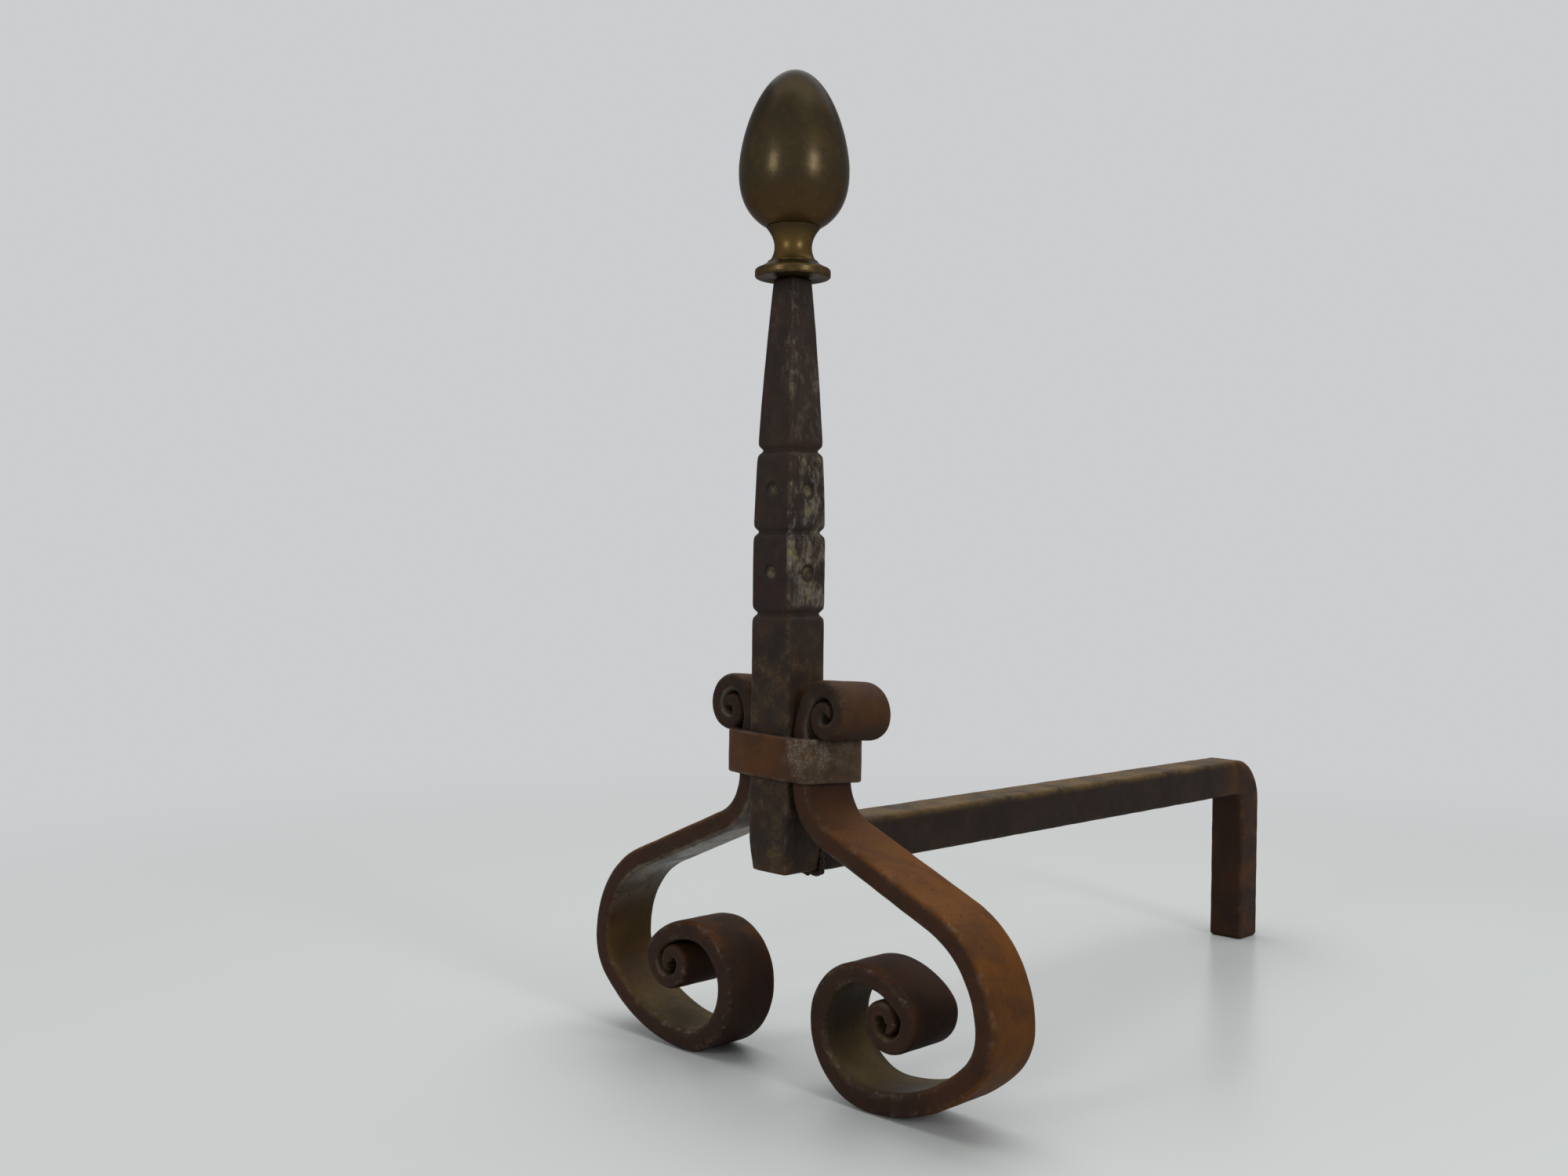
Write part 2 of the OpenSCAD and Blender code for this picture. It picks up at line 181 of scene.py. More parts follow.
# Places at which a finish changes, from the middle to either side, to the right, or to the back.
COIL_SIDE = span(90, 100)       # a foot's coil ends, and the leg's outer bow begins
COLLAR_RIGHT = span(9, 23.5)
COLLAR_STAIN = span(14, 23)
COLLAR_BLOOM = span(14.5, 25.2)
COLLAR_FLANK = span(-4, 8)      # behind the post's axis
POST_BACK_EDGE = span(-4, 6)    # the same
BEND_RUST = span(-70, -30)      # before the log bar's rear end

IRON_RELIEF = 0.45 * MM
BRASS_RELIEF = 0.3 * MM
THREAD_RELIEF = 0.2 * MM
BRASS_EDGE = (0.22, 0.18, 0.13)  # tint that darkens the brass where it is seen at a glancing angle
ON_FACE = (0.55, 0.97)          # soft step from a bar's side to its face, in half thicknesses


def linear(hex_colour):
    """A colour written as #rrggbb, as the linear values that Blender's shaders use."""
    parts = [int(hex_colour[i:i + 2], 16) / 255 for i in (1, 3, 5)]
    return tuple(p / 12.92 if p <= 0.04045 else ((p + 0.055) / 1.055) ** 2.4 for p in parts)


def length(name, description, default, low=0.0):
    return FloatProperty(name=name, description=description, default=default, min=low,
                         unit="LENGTH", subtype="DISTANCE", precision=4)


def angle(name, description, degrees):
    return FloatProperty(name=name, description=description, default=math.radians(degrees),
                         subtype="ANGLE")


def colour(name, description, hex_colour):
    return FloatVectorProperty(name=name, description=description, default=linear(hex_colour),
                               subtype="COLOR", size=3, min=0, max=1)


# ---------------------------------------------------------------- settings


class AndironForgeSettings(bpy.types.PropertyGroup):
    """Sizes of the forged pieces"""
    leg_width: length("Leg width", "Width of the leg bar, front to back", LEG_HIGH.y - LEG_LOW.y)
    leg_thickness: length("Leg thickness", "Full thickness of the leg bar", 10.7 * MM)
    leg_arris: length("Leg arris", "Radius worn along the leg bar's arrises", 2.9 * MM)
    scroll_spread: length("Scroll spread", "How much wider the small scrolls are than the leg bar", 2.4 * MM)
    scroll_back: length("Scroll set-back", "How far the small scrolls sit behind the legs", 2.6 * MM)
    scroll_lean: angle("Scroll lean", "Slope of the small scrolls down towards the back", 3.8)
    bar_arris: length("Bar arris", "Radius worn along the log bar's arrises", 2.0 * MM)
    bar_bend: length("Rear bend", "Inside radius of the bend into the rear foot", 6.5 * MM)
    post_arris: length("Post arris", "Radius worn along the post's arrises", 1.7 * MM)
    groove_z: length("Lowest groove", "Height of the lowest groove round the post", 219.5 * MM)
    groove_pitch: length("Groove pitch", "Distance between the post's grooves", 38.4 * MM)
    groove_depth: length("Groove depth", "Depth of each groove", 1.6 * MM)
    groove_width: length("Groove width", "Width of each groove at the surface", 6 * MM)
    taper_z: length("Taper start", "Height at which the post starts to narrow", 250 * MM)
    tip_width: length("Tip width", "Width of the post under the finial", 13 * MM)
    point_height: length("Point height", "Length of the blunt point at the post's foot", 16 * MM)
    point_in: length("Point draw", "How far each face draws in at the blunt point", 1.5 * MM)
    dimple_radius: length("Dimple radius", "Radius of a punched dimple at the surface", 4.4 * MM)
    dimple_depth: length("Dimple depth", "Depth of a punched dimple", 1.7 * MM)
    collar_thickness: length("Collar thickness", "Thickness of the collar band", 4.5 * MM)
    collar_arris: length("Collar arris", "Radius worn along the band's edges", 1.1 * MM)
    collar_gap: length("Collar gap", "Gap between the band's two ends", 3 * MM)
    collar_swell: length("Collar swell", "How far hammering has spread the band's height", 1 * MM)
    collar_pitch: angle("Collar pitch", "How far the collar sits down at the back", 3.25)
    collar_roll: angle("Collar roll", "How far the collar sits down on the right", 1.6)
    ring_step: length("Ring step", "Spacing of the rings of faces along a bar", 1.1 * MM, 0.0002)
    hammer_depth: length("Hammer depth", "How far hammer marks dent the bars", 0.26 * MM)
    hammer_size: length("Hammer size", "Size of one hammer mark", 11 * MM, 0.001)
    pit_depth: length("Pit depth", "Depth of rust pits", 0.035 * MM)
    seed: IntProperty(name="Seed", description="Seed of the hammer marks and weld beads", default=7)


class AndironFinialSettings(bpy.types.PropertyGroup):
    """Sizes of the turned pieces"""
    girth_z: length("Girth height", "Height of the egg's widest girth", 429 * MM)
    egg_radius: length("Egg radius", "Radius of the egg at its girth", (EGG_HIGH.x - EGG_LOW.x) / 2)
    lower_reach: length("Lower reach", "Length of the egg's lower half, were it whole", 30 * MM)
    flange_radius: length("Flange radius", "Radius of the pedestal's flange", (BASE_HIGH.x - BASE_LOW.x) / 2)
    waist_radius: length("Waist radius", "Radius of the pedestal's waist", 8.9 * MM)
    stud_radius: length("Stud radius", "Radius over the stud's thread", (STUD_HIGH.x - STUD_LOW.x) / 2)
    stud_gap: length("Stud gap", "Clearance round the stud", 0.05 * MM)
    thread_pitch: length("Thread pitch", "Distance the stud advances in one turn", 1.25 * MM, 0.0002)
    thread_depth: length("Thread depth", "Depth of the thread", 0.62 * MM)
    segments: IntProperty(name="Segments", description="Faces round a turned piece", default=144, min=24)


class AndironColourSettings(bpy.types.PropertyGroup):
    """Colours of the finishes"""
    # Fire scale is also laid as painted shade inside the feet's coils and round the post's dimples.
    scale_black: colour("Fire scale", "Near-black forge scale", "#211b18")
    iron_brown: colour("Oiled iron", "Brown of old oiled iron", "#362a21")
    # Rust is also laid as painted light on the upper turns of the feet's coils.
    rust: colour("Rust", "Golden-brown rust on the scrolls", "#5e3913")
    rust_dark: colour("Dark rust", "Red-brown rust in the shade of the scrolls", "#382018")
    ochre: colour("Ochre dust", "Tan bloom along the top of the log bar", "#64502f")
    # The grey of worn iron is also laid as a painted sheen on the legs' inward faces and, with the olive
    # stain, as a painted highlight in the post's dimples.
    bare_iron: colour("Bare iron", "Grey iron where the scale has worn off", "#968d80")
    olive: colour("Olive stain", "Yellow-green stain on worn patches", "#6e6722")
    # A darker brass patina is also laid as painted shade on the egg's top and on the neck under it.
    brass_dark: colour("Brass patina", "Olive-brown patina of the egg", "#3d3526")
    brass_warm: colour("Warm brass", "Golden brass of the pedestal", "#755a2a")
    steel: colour("Thread steel", "Steel of the stud", "#8a857c")


class AndironStageSettings(bpy.types.PropertyGroup):
    """The floor, the backdrop and the camera"""
    floor_colour: colour("Floor", "Colour of the plain floor", "#b8bbb8")
    backdrop_colour: colour("Backdrop", "Colour of the plain backdrop", "#cccdcf")
    camera_x: length("Camera right", "How far the camera stands to the right of the post", 0.5151)
    camera_y: length("Camera front", "How far the camera stands in front of the post", 0.5229)
    camera_z: length("Camera height", "Height of the camera", 0.2382)
    camera_yaw: angle("Yaw", "Turn of the camera to the left", 44.74)
    camera_pitch: angle("Pitch", "Tilt of the camera downwards", 0.52)
    camera_roll: angle("Roll", "Roll of the camera", 0.77)
    lens_mm: FloatProperty(name="Lens", description="Focal length on a 36 mm wide sensor, in mm",
                           default=35.56)


# ---------------------------------------------------------------- node writing


def math_node(operation, swapped=False):
    """A method that adds a Math node on its socket and one other value."""

    def method(self, other=0.0):
        first, second = (other, self) if swapped else (self, other)
        return self.nodes.add("ShaderNodeMath", {"operation": operation}, {0: first, 1: second})

    return method


class Sock:
    """A node socket that can be used in Python expressions."""

    def __init__(self, nodes, socket):
        self.nodes = nodes
        self.socket = socket

    __add__ = __radd__ = math_node("ADD")
    __sub__ = math_node("SUBTRACT")
    __rsub__ = math_node("SUBTRACT", swapped=True)
    __mul__ = __rmul__ = math_node("MULTIPLY")
    __truediv__ = math_node("DIVIDE")
    __rtruediv__ = math_node("DIVIDE", swapped=True)
    __abs__ = math_node("ABSOLUTE")
    most = math_node("MAXIMUM")
    least = math_node("MINIMUM")

    def __neg__(self):
        return self * -1.0

    def rise(self, low, high):
        """0 below low, 1 above high, smooth between."""
        return self.nodes.add("ShaderNodeMapRange", {"interpolation_type": "SMOOTHSTEP"},
                              {"Value": self, "From Min": low, "From Max": high})

    def fall(self, low, high):
        """1 below low, 0 above high, smooth between."""
        return 1.0 - self.rise(low, high)

    def part(self, axis):
        """One of a vector's three numbers."""
        return self.nodes.add("ShaderNodeSeparateXYZ", None, {0: self}, axis)

    def vector(self, operation, other=None, scale=None):
        values = {0: self}
        if other is not None:
            values[1] = other
        if scale is not None:
            values["Scale"] = scale
        return self.nodes.add("ShaderNodeVectorMath", {"operation": operation}, values)

    def reach(self):
        """A vector's length."""
        return self.nodes.add("ShaderNodeVectorMath", {"operation": "LENGTH"}, {0: self}, "Value")


class Nodes:
    """Writes one node tree."""

    def __init__(self, tree):
        self.tree = tree

    def _socket(self, sockets, key):
        if isinstance(key, int):
            return sockets[key]
        return next(s for s in sockets if s.name == key and s.enabled)

    def add(self, kind, settings=None, values=None, out=0):
        """A node of that type: its settings first, then its sockets' values or links."""
        node = self.tree.nodes.new(kind)
        for key, value in (settings or {}).items():
            setattr(node, key, value)
        for key, value in (values or {}).items():
            socket = self._socket(node.inputs, key)
            if isinstance(value, Sock):
                self.tree.links.new(value.socket, socket)
            else:
                socket.default_value = value
        return Sock(self, self._socket(node.outputs, out)) if len(node.outputs) else node

    def mix(self, first, second, factor):
        """Blends two colours."""
        first, second = ((*c, 1) if isinstance(c, tuple) else c for c in (first, second))
        return self.add("ShaderNodeMix", {"data_type": "RGBA"},
                        {"Factor": factor, "A": first, "B": second}, "Result")

    def place(self):
        """Object coordinates, in a material."""
        return self.add("ShaderNodeTexCoord", None, None, "Object")

    def noise(self, place, size, detail=4.0, roughness=0.55, distortion=0.0):
        """Noise whose patches are about size metres across."""
        return self.add("ShaderNodeTexNoise", None,
                        {"Vector": place, "Scale": 1 / size, "Detail": detail, "Roughness": roughness,
                         "Distortion": distortion}, "Fac")

    def bump(self, strength, depth, height):
        return self.add("ShaderNodeBump", None,
                        {"Strength": strength, "Distance": depth, "Height": height})

    def named(self, name, kind="FLOAT"):
        """An attribute, in a Geometry Nodes tree."""
        return self.add("GeometryNodeInputNamedAttribute", {"data_type": kind}, {"Name": name},
                        "Attribute")

    def store(self, geometry, name, value):
        """Stores a vector on a geometry's points."""
        return self.add("GeometryNodeStoreNamedAttribute",
                        {"data_type": "FLOAT_VECTOR", "domain": "POINT"},
                        {"Geometry": geometry, "Name": name, "Value": value})

    def shows_backdrop(self):
        """1 for rays that see the plain backdrop: the camera's, and those off metal or through glass."""
        camera, glossy, through = (self.add("ShaderNodeLightPath", None, None, "Is %s Ray" % kind)
                                   for kind in ("Camera", "Glossy", "Transmission"))
        return camera.most(glossy).most(through)


def group_tree(name, inputs):
    """The node writer of a new Geometry Nodes tree, and the tree's input sockets by name."""
    tree = bpy.data.node_groups.new(name, "GeometryNodeTree")
    tree.interface.new_socket(name="Geometry", in_out="OUTPUT", socket_type="NodeSocketGeometry")
    for label, kind, default in inputs:
        item = tree.interface.new_socket(name=label, in_out="INPUT", socket_type="NodeSocket" + kind)
        if default is not None:
            item.default_value = default
    nodes = Nodes(tree)
    source = tree.nodes.new("NodeGroupInput")
    return nodes, {s.name: Sock(nodes, s) for s in source.outputs if s.name}


def finish_tree(nodes, geometry, material):
    """Realizes instances, sets the material, ends the tree and returns it."""
    real = nodes.add("GeometryNodeRealizeInstances", None, {"Geometry": geometry})
    done = nodes.add("GeometryNodeSetMaterial", None, {"Geometry": real, "Material": material})
    end = nodes.tree.nodes.new("NodeGroupOutput")
    nodes.tree.links.new(done.socket, end.inputs[0])
    return nodes.tree


def shader(name):
    """A new material and its node writer."""
    material = bpy.data.materials.new(name)
    material.use_nodes = True
    material.node_tree.nodes.clear()
    return material, Nodes(material.node_tree)


def finish_shader(nodes, values):
    """Ends a material with a Principled shader that has these values."""
    principled = nodes.add("ShaderNodeBsdfPrincipled", None, values)
    nodes.add("ShaderNodeOutputMaterial", None, {"Surface": principled})


def made_once(things, name, maker, *values):
    """The node tree or material of that name, made the first time and shared after that."""
    return things.get(name) or maker(*values)


# ---------------------------------------------------------------- geometry trees


def forged_bar_tree():
    """Sweeps a rounded bar along a path whose points carry its centre, its directions and its size."""
    n, g = group_tree("Forged bar", [
        ("Path", "Geometry", None), ("Thickness", "Float", 0.01), ("Width", "Float", 0.028),
        ("Arris", "Float", 0.003), ("Points round", "Int", 72),
        ("Hammer depth", "Float", 0.0003), ("Hammer size", "Float", 0.011), ("Pit depth", "Float", 0.00006),
        ("Seed", "Int", 0), ("Iron", "Material", None),
    ])
    outline = n.add("GeometryNodeCurvePrimitiveQuadrilateral", {"mode": "RECTANGLE"},
                    {"Width": g["Thickness"], "Height": g["Width"]})
    outline = n.add("GeometryNodeFilletCurve", {"mode": "POLY"},
                    {"Curve": outline, "Count": 6, "Radius": g["Arris"], "Limit Radius": True})
    outline = n.add("GeometryNodeResampleCurve", {"mode": "COUNT"},
                    {"Curve": outline, "Count": g["Points round"]})
    place = n.add("GeometryNodeInputPosition")
    outline = n.store(outline, "section", place)
    path = n.add("GeometryNodeMeshToCurve", None, {"Mesh": g["Path"]})
    bar = n.add("GeometryNodeCurveToMesh", None,
                {"Curve": path, "Profile Curve": outline, "Fill Caps": True})

    section = n.named("section", "FLOAT_VECTOR")
    across = section.part(0)
    along_width = section.part(1)
    thick = n.named("thick")
    inward = n.named("inward", "FLOAT_VECTOR").vector("SCALE", scale=across * thick)
    sideways = n.named("sideways", "FLOAT_VECTOR").vector("SCALE", scale=along_width * n.named("wide"))
    surface = n.named("centre", "FLOAT_VECTOR").vector("ADD", inward.vector("ADD", sideways))
    bar = n.add("GeometryNodeSetPosition", None, {"Geometry": bar, "Position": surface})

    def unevenness(seed_step, scale, detail):
        return n.add("ShaderNodeTexNoise", {"noise_dimensions": "4D"},
                     {"Vector": place, "W": g["Seed"] * seed_step, "Scale": scale / g["Hammer size"],
                      "Detail": detail}, "Fac") - 0.5

    dents = unevenness(3.7, 1, 1.0)
    pits = unevenness(1.3, 6, 2.0)
    lift = (dents * g["Hammer depth"] * 2.0 + pits * g["Pit depth"] * 2.0) * thick
    offset = n.add("GeometryNodeInputNormal").vector("SCALE", scale=lift)
    bar = n.add("GeometryNodeSetPosition", None, {"Geometry": bar, "Offset": offset})
    # skin is what the finishes read: x is 1 on the outward face and -1 on the inward one, y is -1 to 1
    # over the width, and z is 1 on an arris
    half_t = g["Thickness"] / 2
    half_w = g["Width"] / 2
    from_corner = (half_t - abs(across)).most(half_w - abs(along_width)) / g["Arris"]
    skin = n.add("ShaderNodeCombineXYZ", None, {
        "X": across / half_t * n.named("outward"), "Y": along_width / half_w,
        "Z": (1.25 - from_corner).most(0.0).least(1.0)})
    bar = n.add("GeometryNodeSetShadeSmooth", None, {"Geometry": n.store(bar, "skin", skin)})
    return finish_tree(n, bar, g["Iron"])


def weld_bead_tree():
    """Lays a run of overlapping puddles along a path. The path's points carry each puddle's size."""
    n, g = group_tree("Weld bead", [
        ("Path", "Geometry", None), ("Puddle radius", "Float", 0.002), ("Spacing", "Float", 0.0012),
        ("Unevenness", "Float", 0.25), ("Seed", "Int", 0), ("Iron", "Material", None),
    ])
    path = n.add("GeometryNodeMeshToCurve", None, {"Mesh": g["Path"]})
    path = n.add("GeometryNodeResampleCurve", {"mode": "LENGTH"}, {"Curve": path, "Length": g["Spacing"]})
    puddle = n.add("GeometryNodeMeshIcoSphere", None, {"Radius": g["Puddle radius"], "Subdivisions": 3})
    change = n.add("FunctionNodeRandomValue", {"data_type": "FLOAT"},
                   {"Min": -1.0, "Max": 1.0, "Seed": g["Seed"]}, "Value")
    size = n.named("size") * (change * g["Unevenness"] + 1.0)
    run = n.add("GeometryNodeInstanceOnPoints", None, {"Points": path, "Instance": puddle, "Scale": size})
    return finish_tree(n, run, g["Iron"])


def thread_tree():
    """A round stud whose side is cut by a screw thread."""
    n, g = group_tree("Screw thread", [
        ("Blank", "Geometry", None), ("Radius", "Float", 0.004), ("Pitch", "Float", 0.00125),
        ("Depth", "Float", 0.0006), ("Length", "Float", 0.05), ("Low end", "Vector", (0, 0, 0)),
        ("Steel", "Material", None),
    ])
    rod = n.add("GeometryNodeMeshCylinder", {"fill_type": "TRIANGLE_FAN"},
                {"Vertices": THREAD_SIDES, "Side Segments": THREAD_RINGS, "Fill Segments": 4,
                 "Radius": g["Radius"], "Depth": g["Length"]})
    place = n.add("GeometryNodeInputPosition")
    across = place.vector("MULTIPLY", (1, 1, 0))
    turned_by = n.add("ShaderNodeMath", {"operation": "ARCTAN2"}, {0: place.part(1), 1: place.part(0)})
    # that angle jumps by one turn at the seam, where the thread is one pitch on as well, so it closes
    turns = place.part(2) / g["Pitch"] - turned_by / math.tau
    tooth = n.add("ShaderNodeMath", {"operation": "PINGPONG"}, {0: turns, 1: 0.5}) * 2.0
    on_side = across.reach().rise(*(g["Radius"] * share for share in THREAD_SKIN))
    chamfer = (g["Length"] / 2 - abs(place.part(2))).fall(0.0, THREAD_CHAMFER)
    cut = (tooth.rise(0.1, 0.9) * g["Depth"]).most(chamfer * g["Depth"]) * on_side
    inwards = across.vector("NORMALIZE").vector("SCALE", scale=-cut)
    middle = g["Low end"].vector("ADD", n.add("ShaderNodeCombineXYZ", None, {"Z": g["Length"] / 2}))
    rod = n.add("GeometryNodeSetPosition", None, {"Geometry": rod, "Offset": inwards.vector("ADD", middle)})
    rod = n.add("GeometryNodeSetShadeSmooth", None, {"Geometry": rod})
    return finish_tree(n, rod, g["Steel"])


# ---------------------------------------------------------------- meshes and objects


def add_object(name, data):
    thing = bpy.data.objects.new(name, data)
    bpy.context.scene.collection.objects.link(thing)
    return thing


def settle(piece):
    """Puts what a piece's modifiers make of its mesh in its place, as a plain mesh."""
    depsgraph = bpy.context.evaluated_depsgraph_get()
    mesh = bpy.data.meshes.new_from_object(piece.evaluated_get(depsgraph), preserve_all_data_layers=True,
                                           depsgraph=depsgraph)
    piece.modifiers.clear()
    source = piece.data
    piece.data = mesh
    bpy.data.meshes.remove(source)
    mesh.name = piece.name


def grow(name, source, tree, values, melted=0.0):
    """Runs a Geometry Nodes tree on a mesh, and melts the result together where a voxel size is given."""
    piece = add_object(name, source)
    modifier = piece.modifiers.new("Grow", "NODES")
    modifier.node_group = tree
    for item in tree.interface.items_tree:
        if item.item_type == "SOCKET" and item.in_out == "INPUT" and item.name in values:
            modifier[item.identifier] = values[item.name]
    if melted:
        remesh = piece.modifiers.new("Melt", "REMESH")
        remesh.mode = "VOXEL"
        remesh.voxel_size = melted
        remesh.use_smooth_shade = True
    settle(piece)
    # a voxel remesh drops the material that the tree set
    piece.data.materials.clear()
    piece.data.materials.append(next(v for v in values.values() if isinstance(v, bpy.types.Material)))
    face_outwards(piece.data)
    return piece


def face_outwards(mesh):
    """Turns a closed mesh right side out."""
    mesh.calc_loop_triangles()
    corners = np.empty(len(mesh.loop_triangles) * 3, np.int32)
    mesh.loop_triangles.foreach_get("vertices", corners)
    points = np.empty(len(mesh.vertices) * 3)
    mesh.vertices.foreach_get("co", points)
    a, b, c = (points.reshape(-1, 3)[corners.reshape(-1, 3)[:, k]] for k in range(3))
    if np.einsum("ij,ij->i", a, np.cross(b, c)).sum() < 0:
        mesh.flip_normals()


def edge_chain(name, points, values):
    """A chain of edges whose points carry named numbers or vectors."""
    mesh = bpy.data.meshes.new(name + "_path")
    mesh.from_pydata(points, [(k, k + 1) for k in range(len(points) - 1)], [])
    for key, numbers in values.items():
        numbers = np.array(numbers, np.float32)
        kind, field = ("FLOAT", "value") if numbers.ndim == 1 else ("FLOAT_VECTOR", "vector")
        mesh.attributes.new(key, kind, "POINT").data.foreach_set(field, numbers.ravel())
    return mesh


def turned(name, outline, segments, closed):
    """A lathe-turned piece. outline is (radius, height) points, a ring if closed, else from pole to pole."""
    body = outline if closed else outline[1:-1]
    angles = [math.tau * k / segments for k in range(segments)]
    points = [] if closed else [(0, AXIS_Y, outline[0][1])]
    for radius, z in body:
        points += [(radius * math.cos(a), AXIS_Y + radius * math.sin(a), z) for a in angles]
    first = 0 if closed else 1
    faces = []
    rows = len(body)
    for i in range(rows if closed else rows - 1):
        low = first + i * segments
        high = first + (i + 1) % rows * segments
        for k in range(segments):
            j = (k + 1) % segments
            faces.append((low + k, low + j, high + j, high + k))
    if not closed:
        points.append((0, AXIS_Y, outline[-1][1]))
        top = first + (rows - 1) * segments
        for k in range(segments):
            j = (k + 1) % segments
            faces.append((0, first + j, first + k))
            faces.append((len(points) - 1, top + k, top + j))
    mesh = bpy.data.meshes.new(name)
    mesh.from_pydata(points, [], faces)
    mesh.update()
    face_outwards(mesh)
    mesh.shade_smooth()
    return add_object(name, mesh)


# ---------------------------------------------------------------- paths and outlines


class Path:
    """A bar's centre line. Each point has its directions across the bar and its shares of the full size."""

    def __init__(self, sideways):
        self.across = sideways
        self.values = {key: [] for key in ("centre", "inward", "sideways", "thick", "wide", "outward")}

    def point(self, centre, inward, thick=1.0, wide=1.0, outward=-1.0, sideways=None):
        """outward is 1 where the side called inward is to get the outward finish."""
        row = (tuple(centre), inward, sideways or self.across, thick, wide, outward)
        for column, value in zip(self.values.values(), row):
            column.append(value)

    def mesh(self, name):
        return edge_chain(name, self.values["centre"], self.values)

    def round_ends(self, reach, first=True):
        """Draws the bar in a little at its ends, as a hammer leaves them."""
        steps = np.linalg.norm(np.diff(self.values["centre"], axis=0), axis=1)
        from_start = np.concatenate([[0], np.cumsum(steps)])
        from_end = from_start[-1] - from_start
        for k in range(len(from_start)):
            gap = min(from_start[k] if first else reach, from_end[k])
            if gap < reach:
                share = 1 - END_DRAW * (1 - math.sqrt(1 - (1 - gap / reach) ** 2))
                self.values["thick"][k] *= share
                self.values["wide"][k] *= share


def smooth_share(value, low, high):
    """0 below low, 1 above high, smooth between."""
    share = min(1.0, max(0.0, (value - low) / (high - low)))
    return share * share * (3 - 2 * share)


def right_of(heading):
    """The direction to the right of a heading in a plane."""
    return np.array([math.sin(heading), -math.cos(heading)])


def follow_bends(bends, unit, start, heading, step):
    """Walks bends in a plane. Yields (outer point, side of the body, share of thickness)."""
    runs = [b[1] * unit if b[0] == 0 else abs(b[0]) * unit * math.radians(b[1]) for b in bends]
    middles = np.cumsum(runs) - np.array(runs) / 2
    shares = [b[2] for b in bends]
    point = np.array(start, float)
    travelled = 0.0
    for (radius, amount, _), run in zip(bends, runs):
        count = max(3, math.ceil(run / step))
        centre = point + right_of(heading) * radius * unit
        turn = math.copysign(math.radians(amount), radius) if radius else 0.0
        ahead = np.array([math.cos(heading), math.sin(heading)]) * (0.0 if radius else run)
        for k in range(count + 1):
            share = k / count
            side = right_of(heading - turn * share)
            point = centre - side * radius * unit + ahead * share
            if k < count:
                thick = float(np.interp(travelled + run * share, middles, shares))
                yield point, side, min(thick, radius * BEND_FILL) if radius > 0 else thick
        heading -= turn
        travelled += run


def leg_path(forge, side):
    """The whole leg: the small scroll, the stretch through the collar, and the foot."""
    unit = forge.leg_thickness
    step = forge.ring_step
    post_half = POST_WIDTH / 2
    mid_y = (LEG_LOW.y + LEG_HIGH.y) / 2
    foot = list(follow_bends(FOOT_BENDS, unit, (post_half + unit, 0), -math.pi / 2, step))
    shoulder_z = -min(outer[1] for outer, _, _ in foot)
    scroll = list(follow_bends(SMALL_BENDS, unit, (post_half, 0), math.pi / 2, step))
    scroll_z = COLLAR_HIGH.z + SCROLL_SEAT - min(outer[1] for outer, _, _ in scroll)
    spread = forge.scroll_spread / forge.leg_width
    half_w = (forge.leg_width + forge.scroll_spread) / 2
    slope = math.tan(forge.scroll_lean)
    path = Path((0, 1, 0))
    for k, (outer, body, share) in enumerate(reversed(scroll)):
        settled = smooth_share((len(scroll) - 1 - k) * step, 0, SCROLL_SETTLE)
        moved = SCROLL_SHIFT + (1 - SCROLL_SHIFT) * settled
        share += SCROLL_ROOT * (1 - min(1.0, 2 * settled))
        x, z = outer + body * share * unit / 2
        path.point((side * x, mid_y + forge.scroll_back * moved, scroll_z + z - slope * settled * half_w),
                   (-side * body[0], 0, -body[1]), share, 1 + spread * moved, 1, (0, 1, -slope * settled))
    root = SMALL_BENDS[0][2] + SCROLL_ROOT
    for k in range(1, int((scroll_z - shoulder_z) / step)):
        z = scroll_z - k * step
        moved = SCROLL_SHIFT * smooth_share(z, COLLAR_HIGH.z - SCROLL_LEAVES, scroll_z)
        share = float(np.interp(z, [COLLAR_HIGH.z - SCROLL_THINS, scroll_z], [1, root]))
        path.point((side * (post_half + share * unit / 2), mid_y + forge.scroll_back * moved, z),
                   (-side, 0, 0), share, 1 + spread * moved, 1 if z > COLLAR_LOW.z + SHADE_TURNS else -1)
    for outer, body, share in foot:
        x, z = outer + body * share * unit / 2
        path.point((side * x, mid_y, z + shoulder_z), (side * body[0], 0, body[1]), share)
    path.round_ends(2 * MM)
    return path


def bar_path(forge):
    """The log bar, from the back of the post to the bottom of the rear foot."""
    half = BAR_WIDTH / 2
    top = BAR_HIGH.z - half
    foot_y = BAR_HIGH.y - half
    radius = forge.bar_bend + half
    bend_y = foot_y - radius
    bend_z = top - radius
    path = Path((1, 0, 0))
    for y in np.arange(BAR_LOW.y, bend_y, forge.ring_step):
        path.point((0, y, top), (0, 0, -1))
    for k in range(BEND_RINGS):
        turn = math.pi / 2 * k / BEND_RINGS
        back, up = math.sin(turn), math.cos(turn)
        path.point((0, bend_y + radius * back, bend_z + radius * up), (0, -back, -up))
    for z in np.append(np.arange(bend_z, 0, -forge.ring_step), 0):
        path.point((0, foot_y, z), (0, -1, 0))
    path.round_ends(1.6 * MM, first=False)
    return path


